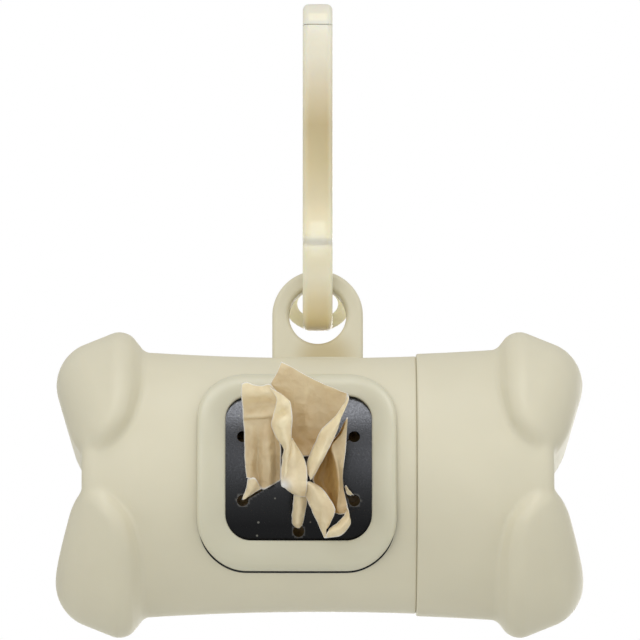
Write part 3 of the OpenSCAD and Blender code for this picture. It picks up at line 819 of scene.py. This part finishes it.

# ---------------------------------------------------------------- bag end
# The loose end of the next bag: one piece of the same film, gathered through the star and
# crumpled into folds over the window. Each fold is laid out as a few rows of points,
# read as X from the star, distance in front of the barrel's axis, and height over the star.

FOLDS = {
    "left": [
        [(-8.21, 21.9, -1.74), (-7.52, 22, -2.05), (-6.42, 21.3, -2.74), (-5.53, 21.5, -3.55),
         (-4.54, 22, -3.12), (-3.65, 21.4, -2.57), (-2.81, 21.6, -2.11)],
        [(-8.41, 22, 0.29), (-7.52, 22.4, 0.13), (-6.46, 21.4, -0.08), (-5.42, 22.7, -0.57),
         (-4.42, 23.3, -0.53), (-3.54, 21.7, 0), (-2.72, 22.2, 0.16)],
        [(-8.5, 22.2, 2.94), (-7.41, 22.9, 2.86), (-6.42, 22, 2.75), (-5.42, 23.2, 2.38), (-4.54, 23.6, 2.33),
         (-3.65, 22.2, 2.5), (-2.72, 22.8, 2.42)],
        [(-8.56, 22.4, 5.59), (-7.41, 23.3, 5.37), (-6.31, 22.8, 5.32), (-5.31, 23.5, 5.35),
         (-4.49, 23.4, 5.25), (-3.87, 22.6, 5.12), (-2.99, 23.2, 4.49)],
        [(-8.74, 22.4, 7.27), (-7.63, 22.8, 7.28), (-6.53, 23, 7.3), (-5.42, 23.2, 7.35), (-4.54, 23.2, 7.39),
         (-3.98, 22.9, 7.09), (-3.43, 23.2, 6.17)],
        [(-8.78, 23.3, 7.82), (-7.74, 23.6, 7.85), (-6.53, 23.8, 7.87), (-5.42, 23.9, 7.91),
         (-4.49, 23.9, 7.97), (-3.92, 23.6, 7.79), (-3.32, 23.6, 7.01)],
        [(-8.87, 22.9, 9.32), (-7.85, 22.8, 9.6), (-6.64, 22.8, 9.78), (-5.53, 22.9, 9.88),
         (-4.54, 23.1, 9.97), (-3.76, 23.4, 9.71), (-3.21, 23.6, 9.01)],
        [(-9, 24.1, 10.96), (-7.94, 24.5, 11.18), (-6.75, 24.7, 11.11), (-5.53, 24.8, 11.21),
         (-4.54, 24.8, 11.21), (-3.76, 24.5, 10.91), (-2.99, 24.4, 10.48)],
        [(-8.96, 23.8, 13), (-8.08, 24.2, 13.18), (-6.97, 24.8, 12.7), (-5.86, 24.6, 12.57),
         (-4.87, 25, 12.79), (-4.31, 25.2, 12.61), (-3.43, 25.3, 11.7)],
    ],
    "back": [
        [(-1.33, 23, 1.06), (-0.11, 22.7, 1.32), (1, 22.4, 1.58), (1.88, 22.4, 1.69), (2.77, 22.6, 2.11)],
        [(-1.33, 22.7, 3.33), (-0.11, 22.1, 3.63), (1, 22, 3.41), (2.54, 22.2, 3.61), (4.2, 22.6, 3.9)],
        [(-1.55, 22.6, 6.02), (-0.11, 22.2, 6.29), (1.44, 22.6, 5.79), (3.43, 22.6, 6.02), (5.64, 23.2, 6.5)],
        [(-2.1, 22.8, 9.11), (-0.33, 22.5, 8.93), (1.66, 23.1, 7.96), (4.09, 23, 8.2), (6.86, 24.2, 8.38)],
        [(-3.43, 23, 11.54), (-1.22, 23.1, 11.08), (1.44, 23.2, 10.18), (4.31, 23.7, 10.12),
         (7.63, 25, 10.07)],
        [(-4.42, 23.4, 12.94), (-2.1, 23.6, 13.03), (1.22, 23.8, 12.33), (4.31, 24.4, 11.7),
         (7.81, 25.5, 11.01)],
        [(-3.43, 24, 14.76), (-1.66, 24.2, 14.62), (1, 24.3, 13.61), (3.65, 24.7, 12.45),
         (7.85, 25.7, 11.16)],
        [(-2.72, 24.4, 16.45), (-1.22, 24.5, 15.7), (1.11, 24.7, 14.34), (3.65, 25.1, 13.02),
         (7.63, 25.8, 11.24)],
    ],
    "ridge": [
        [(-2.72, 23.4, -3), (-2.1, 24.8, -2.95), (-1.33, 24, -2.63)],
        [(-2.63, 23.4, -1.22), (-1.99, 25.4, -0.79), (-0.66, 24.4, -0.89)],
        [(-2.54, 23.6, 0.99), (-1.84, 25.8, 1.16), (-0.77, 24.6, 1.87)],
        [(-2.32, 24, 2.72), (-1.77, 26.2, 2.9), (-1.11, 25.2, 3.69)],
        [(-3.43, 24, 4.4), (-2.32, 26.2, 4.68), (-1.11, 25.6, 4.87)],
        [(-4.18, 24.2, 6.04), (-2.88, 26.4, 6.66), (-0.95, 26, 6.71)],
        [(-4.05, 24.4, 7.58), (-2.54, 25, 8.17), (-0.95, 26.6, 7.98)],
        [(-3.61, 25, 9.29), (-2.32, 26.4, 9.12), (-1.17, 26.2, 9.18)],
        [(-3.43, 25.6, 10.55), (-2.32, 26.2, 10.14), (-1.26, 26.4, 9.74)],
        [(-4.54, 25.2, 12.27), (-2.99, 26, 11.28), (-1.44, 26.4, 10.01)],
    ],
    "band": [
        [(7.85, 25.8, 10.97), (7.9, 26.1, 10.16), (7.68, 25.9, 9.4)],
        [(7.15, 25.2, 9.71), (7.23, 26.2, 8.47), (6.75, 25.9, 7.51)],
        [(5.86, 24.6, 7.89), (6.19, 26.2, 6.47), (6.42, 25.8, 5.85)],
        [(3.65, 24, 5.67), (4.54, 26, 4.15), (5.2, 25.6, 3.08)],
        [(2.43, 23.6, 3.44), (3.65, 26, 2.03), (4.65, 25.6, 2.08)],
        [(1.66, 23.4, 1.79), (2.88, 25.9, 0.37), (3.76, 25.4, 0.32)],
        [(1.22, 23.6, 0.32), (2.21, 25.6, -1.04), (2.88, 25.2, -1.21)],
        [(1.33, 24.2, -1.09), (1.7, 25.3, -2.12), (1.99, 25.2, -2.55)],
    ],
    "inner": [
        [(7.37, 23.4, 7.14), (7.48, 23.5, 7.35), (7.59, 23.6, 7.56), (7.74, 23.5, 7.69), (7.85, 23.4, 7.66)],
        [(6.31, 23, 5.08), (6.64, 22.8, 5.17), (6.92, 24.2, 5.15), (7.37, 23.6, 5.38), (7.7, 23.2, 5.32)],
        [(4.71, 22.8, 3.18), (4.93, 22.6, 3.25), (5.24, 24.4, 3.12), (6.42, 23.6, 3.33), (7.54, 23.2, 3.16)],
        [(3.61, 22.6, 1.33), (4.65, 22.1, 1.4), (5.58, 24.6, 1.31), (6.53, 23.7, 1.53), (7.37, 23.2, 1.26)],
        [(2.81, 22.6, -0.67), (4.31, 21.9, -0.36), (6, 24.8, -0.32), (6.68, 23.8, -0.37),
         (7.15, 23.2, -0.52)],
        [(2.28, 22.6, -2.19), (4.2, 21.9, -2.59), (6.31, 24.8, -2.77), (6.75, 23.9, -2.75),
         (7.04, 23.2, -2.75)],
        [(3.54, 22.8, -4.04), (4.76, 22.2, -4.19), (6.22, 24.6, -4.6), (6.79, 24, -4.63),
         (7.37, 23.4, -4.56)],
        [(4.98, 23.2, -5.87), (5.42, 22.8, -6.27), (6.04, 24.2, -6.66), (6.86, 24, -6.53),
         (7.74, 23.8, -6.39)],
        [(5.64, 23.4, -7.23), (5.91, 23.2, -7.54), (6.35, 23.8, -7.84), (7.12, 24, -7.75), (8.03, 24, -7.53)],
    ],
    "limb": [
        [(0.56, 24.2, -3.43), (1.3, 25.4, -2.84), (1.79, 24.6, -2.54)],
        [(0.93, 24, -4.65), (2.29, 26, -3.9), (3.4, 24.8, -3.38)],
        [(1.55, 23.8, -5.87), (3.03, 26.2, -5.42), (4.63, 25.2, -4.93)],
        [(2.16, 23.6, -7.34), (3.77, 26, -6.89), (5.79, 25.4, -6.94)],
        [(2.9, 23.6, -9.08), (4.01, 25.6, -8.58), (5.62, 25.2, -8.16)],
        [(3.52, 23.8, -10.6), (4.26, 25.2, -10.03), (4.88, 24.8, -9.73)],
        [(4.01, 24.2, -11.64), (4.39, 24.8, -11.34), (4.21, 24.6, -10.7)],
    ],
    "rim": [
        [(4.2, 24.4, -11.68), (4.49, 25.2, -10.84), (4.8, 24.4, -10.03)],
        [(5.53, 24.9, -11.59), (5.69, 25.9, -10.55), (5.73, 24.6, -9.39)],
        [(6.86, 25.1, -11.28), (6.79, 26, -10.05), (6.53, 24.6, -8.72)],
        [(7.79, 25, -10.22), (7.59, 25.8, -9.2), (7.15, 24.4, -7.91)],
        [(8.25, 24.8, -9.19), (8.03, 25.4, -8.24), (7.5, 24, -7.08)],
        [(8.12, 24.2, -7.89), (7.85, 24.6, -7.2), (7.37, 23.6, -6.26)],
    ],
    "knot": [
        [(-1.05, 25.4, 4.08), (-0.97, 25.6, 4.11), (-0.87, 25.4, 4.13)],
        [(-2.16, 25, 2.69), (-0.8, 25.6, 2.86), (0.19, 24.4, 2.51)],
        [(-2.6, 24.4, 0.52), (-0.8, 26.2, 0.8), (0.93, 24.6, 1.12)],
        [(-2.78, 24.2, -1.44), (-0.92, 26, -1.17), (1.35, 25, -0.55)],
        [(-2.78, 24.4, -3.21), (-1.05, 26.6, -3.23), (1.42, 25.6, -2.61)],
        [(-2.16, 24.6, -3.86), (-0.43, 26.2, -4.43), (1.3, 25.4, -4.08)],
        [(-0.92, 24.4, -4.7), (0.06, 25.2, -5.17), (1.05, 24.6, -5.1)],
    ],
    "strand": [
        [(-0.8, 23.2, -4.56), (0.19, 24.4, -4.7), (1.35, 23.2, -4.68)],
        [(-0.97, 22.4, -6.2), (0.19, 23.8, -6.62), (1.3, 22.4, -6.2)],
        [(-1.12, 21.6, -7.84), (-0.06, 23, -8.26), (1, 21.6, -7.59)],
        [(-1.05, 21, -8.76), (-0.06, 22.2, -9.16), (0.85, 21.2, -8.29)],
        [(-0.55, 20.2, -9.41), (0.06, 20.8, -9.61), (0.56, 20.2, -9.16)],
    ],
    "left_foot": [
        [(-8.08, 21.9, -1.91), (-6.85, 22.4, -1.85), (-5.86, 21.6, -3.49)],
        [(-8.33, 21.5, -3.35), (-7.22, 22.2, -3.44), (-5.86, 21.5, -3.55)],
        [(-8.7, 21, -4.29), (-7.84, 21.6, -4.36), (-6.85, 21.2, -4.06)],
        [(-9.02, 20.4, -5.08), (-8.58, 20.6, -5.11), (-8.08, 20.4, -4.71)],
    ],
    "right_foot": [
        [(7.27, 22.2, -3.19), (7.47, 22.4, -2.96), (7.72, 22.2, -3.19)],
        [(7.6, 21.8, -4.26), (8.09, 22, -3.91), (8.41, 21.6, -3.99)],
        [(8.21, 20.8, -4.51), (8.51, 21, -4.41), (8.76, 20.8, -4.56)],
    ],
    "neck": [
        [(-2.16, 24, -2.17), (-1.42, 24.6, -0.75), (0.06, 24.8, -0.27), (1.3, 24.6, -1), (1.05, 24.2, -2.94),
         (-0.68, 24, -3.41), (-2.16, 24, -2.17)],
        [(-1.54, 22.4, -1.47), (-0.92, 22.6, -0.5), (0.06, 22.7, -0.14), (0.93, 22.6, -0.63),
         (0.8, 22.4, -1.72), (-0.43, 22.3, -2.21), (-1.54, 22.4, -1.47)],
        [(-0.92, 20.6, -0.5), (-0.55, 20.6, 0.24), (0.06, 20.6, 0.49), (0.68, 20.6, 0.24),
         (0.68, 20.6, -0.63), (-0.18, 20.6, -0.88), (-0.92, 20.6, -0.5)],
        [(-0.8, 18.2, 0.04), (-0.48, 18.2, 0.59), (0.06, 18.2, 0.74), (0.56, 18.2, 0.49), (0.56, 18.2, -0.16),
         (-0.13, 18.2, -0.36), (-0.8, 18.2, 0.04)],
    ],
}
# How deep in painted shade each fold starts and ends along its rows, from 0 to 1.
FOLD_SHADES = {
    "left": (0.62, 0.15), "ridge": (0.05, 0.1), "back": (0.85, 0.25), "band": (0.05, 0.1),
    "inner": (0.4, 0.75), "limb": (0.2, 0.3), "rim": (0.2, 0.3), "knot": (0.15, 0.3),
    "strand": (0.2, 0.35), "left_foot": (0.3, 0.2), "right_foot": (0.2, 0.2), "neck": (0.4, 1.0)}
INNER_DARKER = 0.55  # the left half of the inner fold lies deeper in shade
FILM_T = 0.05
FACE_W = 0.28  # spacing of the film's vertices
TORN = Vector((-2.4, -3.4))  # a torn place on the knot and the ridge, painted paler: whitened torn film with a painted highlight on it
TORN_R = 1.1


def smooth_through(points, count):
    """A smooth run of count places through the given ones."""
    points = np.asarray(points, float)
    ends = np.concatenate([[2 * points[0] - points[1]], points, [2 * points[-1] - points[-2]]])
    t = np.linspace(0, len(points) - 1, count)
    i = np.minimum(t.astype(int), len(points) - 2)
    f = (t - i).reshape(-1, *[1] * (points.ndim - 1))
    a, b, c, d = ends[i], ends[i + 1], ends[i + 2], ends[i + 3]
    return b + 0.5 * f * (c - a + f * (2 * a - 5 * b + 4 * c - d + f * (3 * (b - c) + d - a)))


def crumple(place):
    """Height of the crinkles in the film, ridged at two sizes and rough at a third."""
    p = Vector(place)
    long_folds = 0.45 - abs(noise.noise(p / 3.6))
    short_folds = 0.4 - abs(noise.noise(p / 1.7 + Vector((7, 0, 0))))
    return 0.22 * long_folds + 0.12 * short_folds + 0.05 * noise.noise(p / 0.7)


film_mesh = bmesh.new()
shade_of = film_mesh.verts.layers.float.new("shade")
edge_light_of = film_mesh.verts.layers.float.new("edge")


def lay_fold(name, rows):
    """Adds one fold: a smooth sheet through its rows, with its shade and its paler edges."""
    rows = np.array(rows)
    length = np.linalg.norm(np.diff(rows, axis=0), axis=2).sum(0).max()
    width = np.linalg.norm(np.diff(rows, axis=1), axis=2).sum(1).max()
    across, along = max(10, int(width / FACE_W)), max(10, int(length / FACE_W))
    columns = smooth_through(np.swapaxes(rows, 0, 1), across + 1)
    surface = smooth_through(np.swapaxes(columns, 0, 1), along + 1)
    first, last = FOLD_SHADES[name]

    def place(vert, u, v):
        x, front, z = surface[v, u]
        inner_shade = INNER_DARKER * towards(0.5 - u / across, -0.05, 0.1) if name == "inner" else 0.0
        vert[shade_of] = first + (last - first) * v / along + inner_shade
        # The edge attribute paints a highlight along each fold's border and on the torn place.
        lit_border = float(name != "neck" and (u in (0, across) or v in (0, along)))
        torn = math.exp(-((Vector((x, z)) - TORN).length / TORN_R) ** 2) if name in ("knot", "ridge") else 0.0
        vert[edge_light_of] = max(lit_border, torn)
        return STAR_X + x, -front, STAR_Z + z

    gridded(film_mesh, across, along, place)


for name, rows in FOLDS.items():
    lay_fold(name, rows)
film_mesh.normal_update()
shifts = [(vert, vert.normal * crumple(vert.co)) for vert in film_mesh.verts]
for vert, shift in shifts:
    vert.co += shift
in_place(film_mesh)
film = piece_from(film_mesh, "gathered_bag_end", 70)
layer = film.modifiers.new("film", "SOLIDIFY")
layer.thickness, layer.offset, layer.use_even_offset = FILM_T * MM, 0, False
apply_modifiers(film)
coat(film, bag_film("thin_tan_film", "FFF5D6", "C8A468", 0.3))
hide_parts("bag_tail")
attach(film, "dispenser")

# ---------------------------------------------------------------- hook
# The snap hook is moulded in one piece in natural acetal, paler than the barrel and a
# little translucent: a bar of rounded section bent over the top, down the back and round
# the eye, with a saddle for the tab's arch and a ring on its tail.

HOOK_W = 4.8
HOOK_T = 3.6
HOOK_ROUND = 1.0
BEND_R = 5.6
BEND_TURN = 75  # where the nose's points end and the bend's begin
OUTER_R = BEND_R + HOOK_T
NOSE_H = 4.65
SPINE_L = 27.4
EYE = (1.2, -35.9)
EYE_R = 8.0
EYE_T = 2.6
EYE_TURNS = (-17, -105)
ARCH = (0.0, -36.05)
SADDLE_R = 2.7
SADDLE_T = 3.85
SADDLE_TURNS = (-15, -112)
TAIL = (Vector((7.4, -30.6)), Vector((8.36, -35.22)))
RING = Vector((0, 6.055, -38.91))
RING_R = 4.35
RING_STOCK = 1.05
RING_LEAN = 32
KNUCKLE = Vector((0, -7.3, -29.5))
KNUCKLE_R = 1.9
KNUCKLE_CLEAR = 0.1


def arc_at(centre, radius, turn):
    """A point in Y and Z on a circle; the turn counts in degrees from the front, over the top."""
    a = math.radians(turn)
    return centre[0] - radius * math.cos(a), centre[1] + radius * math.sin(a)


def arc_bar(centre, inner_r, outer_r, turns):
    """Pairs of inner and outer edge points of a bar that is bent about a centre."""
    return [(arc_at(centre, inner_r, a), arc_at(centre, outer_r, a)) for a in turns]


def nose_bar(inner_r, height, far_turn, shares):
    """The same about the hook's bend, from a level cut at a height round to a turn in degrees."""
    edges = []
    for t in shares:
        turns = [math.degrees(math.asin(height / r)) * (1 - t) + far_turn * t for r in (inner_r, OUTER_R)]
        edges.append((arc_at((0, 0), inner_r, turns[0]), arc_at((0, 0), OUTER_R, turns[1])))
    return edges


def under_bend(bar, name="bar"):
    """Puts a closed mesh drawn in mm about the middle of the hook's bend in its place in metres."""
    bmesh.ops.scale(bar, verts=bar.verts, vec=(MM, MM, MM))
    bmesh.ops.recalc_face_normals(bar, faces=bar.faces)
    return piece_from(bar, name, 40)


nose = nose_bar(BEND_R, NOSE_H, BEND_TURN, np.linspace(0, 1, 9))
bend = arc_bar((0, 0), BEND_R, OUTER_R, np.linspace(BEND_TURN, 180, 50)[1:])
spine = [((BEND_R, z), (OUTER_R, z)) for z in np.linspace(0, -SPINE_L, 24)[1:]]
bow = arc_bar(EYE, EYE_R, EYE_R - EYE_T, np.linspace(*EYE_TURNS, 34))
# From the spine's foot forward to the knuckle and down to the bow, which rounds the eye.
turned = smooth_through([
    ((5.6, -28.1), (9.2, -29.6)), ((5.5, -28.5), (9.15, -31.0)), ((5.2, -28.85), (8.7, -31.9)),
    ((4.7, -29.08), (7.9, -32.28)), ((3.9, -29.2), (6.6, -32.35)), ((1.0, -29.45), (1.9, -32.65)),
    ((-2.0, -29.7), (-1.6, -32.9)), ((-5.0, -29.95), (-4.0, -33.1)), ((-7.1, -30.1), (-4.7, -33.3)),
    ((-8.2, -30.4), (-5.0, -33.6)), ((-8.82, -31.1), (-5.05, -33.95)), ((-8.9, -32.1), (-4.95, -34.4)),
    ((-8.45, -33.5), (-4.72, -34.95)), ((-7.75, -35.0), (-4.4, -35.7)), ((-7.1, -36.6), (-4.08, -36.9)),
    bow[0]], 130)
hook = under_bend(swept_bar([*nose, *bend, *spine, *turned, *bow[1:]], HOOK_W, HOOK_ROUND, 56), "snap_hook")

# What is joined to the bar is a hair narrower, so that no two faces lie in one plane.
saddle = arc_bar(ARCH, SADDLE_R, SADDLE_R + SADDLE_T, np.linspace(*SADDLE_TURNS, 40))
combined(hook, under_bend(swept_bar(saddle, HOOK_W - 0.02, HOOK_ROUND, 56)), "UNION")
lean = TAIL[1] - TAIL[0]
aside = Vector((lean.y, -lean.x)).normalized() * RING_STOCK
tail = [(TAIL[0] + lean * t - aside, TAIL[0] + lean * t + aside) for t in np.linspace(0, 1, 8)]
combined(hook, under_bend(swept_bar(tail, HOOK_W - 0.04, HOOK_ROUND, 40)), "UNION")
stock = [(RING_R + RING_STOCK * math.cos(a), 0, RING_STOCK * math.sin(a))
         for a in math.tau * np.arange(32) / 32]
ring = spun(stock, 96, axis=(0, 0, 1), near=1e-4)
bmesh.ops.rotate(ring, verts=ring.verts, matrix=Matrix.Rotation(math.radians(90 - RING_LEAN), 3, "X"))
bmesh.ops.translate(ring, verts=ring.verts, vec=RING)
combined(hook, under_bend(ring), "UNION")


def knuckle(radius, width, rounding):
    """A disc with rounded edges about the gate's axis."""
    flat = width / 2 - rounding
    half = [(flat + rounding * math.cos(a), radius - rounding + rounding * math.sin(a))
            for a in np.radians(np.linspace(0, 90, 8))]
    disc = spun_shell([(width / 2, 0), *half, *[(-x, r) for x, r in half[::-1]], (-width / 2, 0)])
    bmesh.ops.translate(disc, verts=disc.verts, vec=KNUCKLE)
    return under_bend(disc)


combined(hook, knuckle(KNUCKLE_R + KNUCKLE_CLEAR, 3 * HOOK_W, 0.1), "DIFFERENCE")
smoothed(hook, 40)

# Moulded natural acetal: milky and waxy, with painted light and shade down its height, painted light on
# its sides and on the ring behind the tab, a painted highlight on the nose and a paler patch at the gate's
# foot.
# Painted light and shade down the hook's height: darkest and warmest on the middle of the spine and gate,
# palest near the gate's foot.
HEIGHT_SHADES_FROM = -44
HEIGHT_SHADES_TO = 10
HEIGHT_SHADES = ((-43, "E2D2A6"), (-40, "E4D8B6"), (-36.5, "EEE8D1"), (-31, "FBF2D4"), (-24, "DDD2B0"),
         (-18, "CEC097"), (-12, "C6B58A"), (-7, "D6CAAB"), (-1, "E9E4D1"), (5.5, "E6E2D1"), (8, "EBE7D8"))

acetal, tree = empty_material("natural_acetal")
at = add_node(tree, "TexCoord").outputs["Object"]
place = add_node(tree, "SeparateXYZ", Vector=at).outputs


def rising(start, end, source):
    """One past the end, nothing before the start, in mm, and a soft rise between them."""
    return add_node(tree, "MapRange", {"interpolation_type": "SMOOTHSTEP", "#1": start * MM, "#2": end * MM,
                                       "#3": 0.0, "#4": 1.0}, i0=source)


def within(axis, middle, reach, soft):
    """One near a place along an axis and nothing beyond its reach, in mm."""
    off = add_node(tree, "Math", {"operation": "SUBTRACT", "#1": middle * MM}, i0=place[axis])
    gap = add_node(tree, "Math", {"operation": "ABSOLUTE"}, i0=off)
    return rising(reach + soft, reach - soft, gap)


height = add_node(tree, "MapRange", {"#1": HEIGHT_SHADES_FROM * MM, "#2": HEIGHT_SHADES_TO * MM, "#3": 0.0, "#4": 1.0},
                  i0=place["Z"])
height_shades = add_node(tree, "ValToRGB", i0=height)
stops = height_shades.color_ramp.elements
for z, colour in HEIGHT_SHADES:
    stops.new((z - HEIGHT_SHADES_FROM) / (HEIGHT_SHADES_TO - HEIGHT_SHADES_FROM)).color = linear(colour)
stops.remove(stops[0])
stops.remove(stops[-1])
clouds = add_node(tree, "TexNoise", {"Scale": 1 / (6 * MM), "Detail": 3.0}, Vector=at)
# Painted light: the hook's sides and the ring behind the tab are mixed towards a paler cream.
painted_side_light = add_node(tree, "Math", {"operation": "MULTIPLY_ADD", "#1": -0.4, "#2": 0.4},
                     i0=within("X", 0, 1.85, 0.5))
behind = rising(1.5, 3, place["Y"])
painted_light_mask = add_node(tree, "Math", {"operation": "MAXIMUM"}, i0=painted_side_light, i1=behind)
tone = add_node(tree, "Mix", {"data_type": "RGBA", "#7": linear("F6F2DF")}, i0=painted_light_mask, i6=height_shades)
# A painted highlight on the nose and a paler patch at the gate's foot, mixed towards a pale cream.
foot_patch = add_node(tree, "Math", {"operation": "MULTIPLY"}, i0=within("X", 0, 1.2, 0.4),
                     i1=within("Z", -30.5, 2.75, 0.45))
nose_highlight = add_node(tree, "Math", {"operation": "MULTIPLY"}, i0=within("X", 0, 1.5, 0.4),
                     i1=within("Z", 6.0, 0.7, 0.3))
pale_patches = add_node(tree, "Math", {"operation": "ADD", "use_clamp": True}, i0=foot_patch, i1=nose_highlight)
patch_paleness = add_node(tree, "Math", {"operation": "MULTIPLY", "#1": 0.6}, i0=pale_patches)
paler = add_node(tree, "Mix", {"data_type": "RGBA", "#7": linear("FFF7DF")}, i0=patch_paleness, i6=tone)
light = add_node(tree, "MapRange", {"#1": 0.3, "#2": 0.7, "#3": 0.97, "#4": 1.03}, i0=clouds)
tint = add_node(tree, "VectorMath", {"operation": "SCALE"}, i0=paler, Scale=light)
grain = add_node(tree, "TexNoise", {"Scale": 1 / (0.3 * MM), "Detail": 2.0}, Vector=at)
bump = add_node(tree, "Bump", {"Strength": 0.4, "Distance": 0.01 * MM}, Height=grain)
skin = add_node(tree, "BsdfPrincipled", {
    "IOR": 1.48, "Roughness": 0.36, "Subsurface Weight": 0.35, "Subsurface Scale": 2.5 * MM,
    "Subsurface Radius": (1.0, 0.75, 0.4)}, Base_Color=tint, Normal=bump)
glow = add_node(tree, "BsdfTranslucent", Color=tint)
lets_through = add_node(tree, "Math", {"operation": "MULTIPLY_ADD", "#1": 0.52, "#2": 0.03}, i0=behind)
both = add_node(tree, "MixShader", Fac=lets_through, i1=skin, i2=glow)
add_node(tree, "OutputMaterial", Surface=both)
coat(hook, acetal)
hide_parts("clip_hook")
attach(hook, "clip")

# ---------------------------------------------------------------- gate
# The springy gate is the same moulding grade: a strip that turns on its knuckle and closes
# the mouth against the nose. A thin apron at its foot hides the knuckle's gap.

GATE_T = 2.2
TIP_GAP = 0.12
GATE_R = OUTER_R - GATE_T
APRON_H = (-31.5, -29.2)
APRON_T = 0.27
APRON_THINS = (30.3, 31.4)  # below the bend, where it tapers
APRON_TAPER = 0.21
APRON_PROUD = 0.004

strip = [((-GATE_R, z), (-OUTER_R, z)) for z in np.linspace(KNUCKLE.z, 0, 16)]
tip = nose_bar(GATE_R, NOSE_H - TIP_GAP, 0, np.linspace(1, 0, 10)[1:])
gate = under_bend(swept_bar(strip + tip, HOOK_W, HOOK_ROUND, 56), "springy_gate")
combined(gate, knuckle(KNUCKLE_R, HOOK_W, HOOK_ROUND), "UNION")
apron = swept_bar([((APRON_T - OUTER_R, z), (APRON_TAPER * towards(-z, *APRON_THINS) - OUTER_R, z))
                   for z in np.linspace(*APRON_H, 16)], HOOK_W - 0.1, 0.08, 64)
for vert in apron.verts:
    past = max(0, abs(vert.co.x) - (HOOK_W / 2 - HOOK_ROUND))
    vert.co.y += HOOK_ROUND - math.sqrt(HOOK_ROUND ** 2 - past ** 2) + APRON_PROUD
combined(gate, under_bend(apron), "UNION")
smoothed(gate, 40)
coat(gate, acetal)
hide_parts("clip_gate")
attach(gate, "gate")
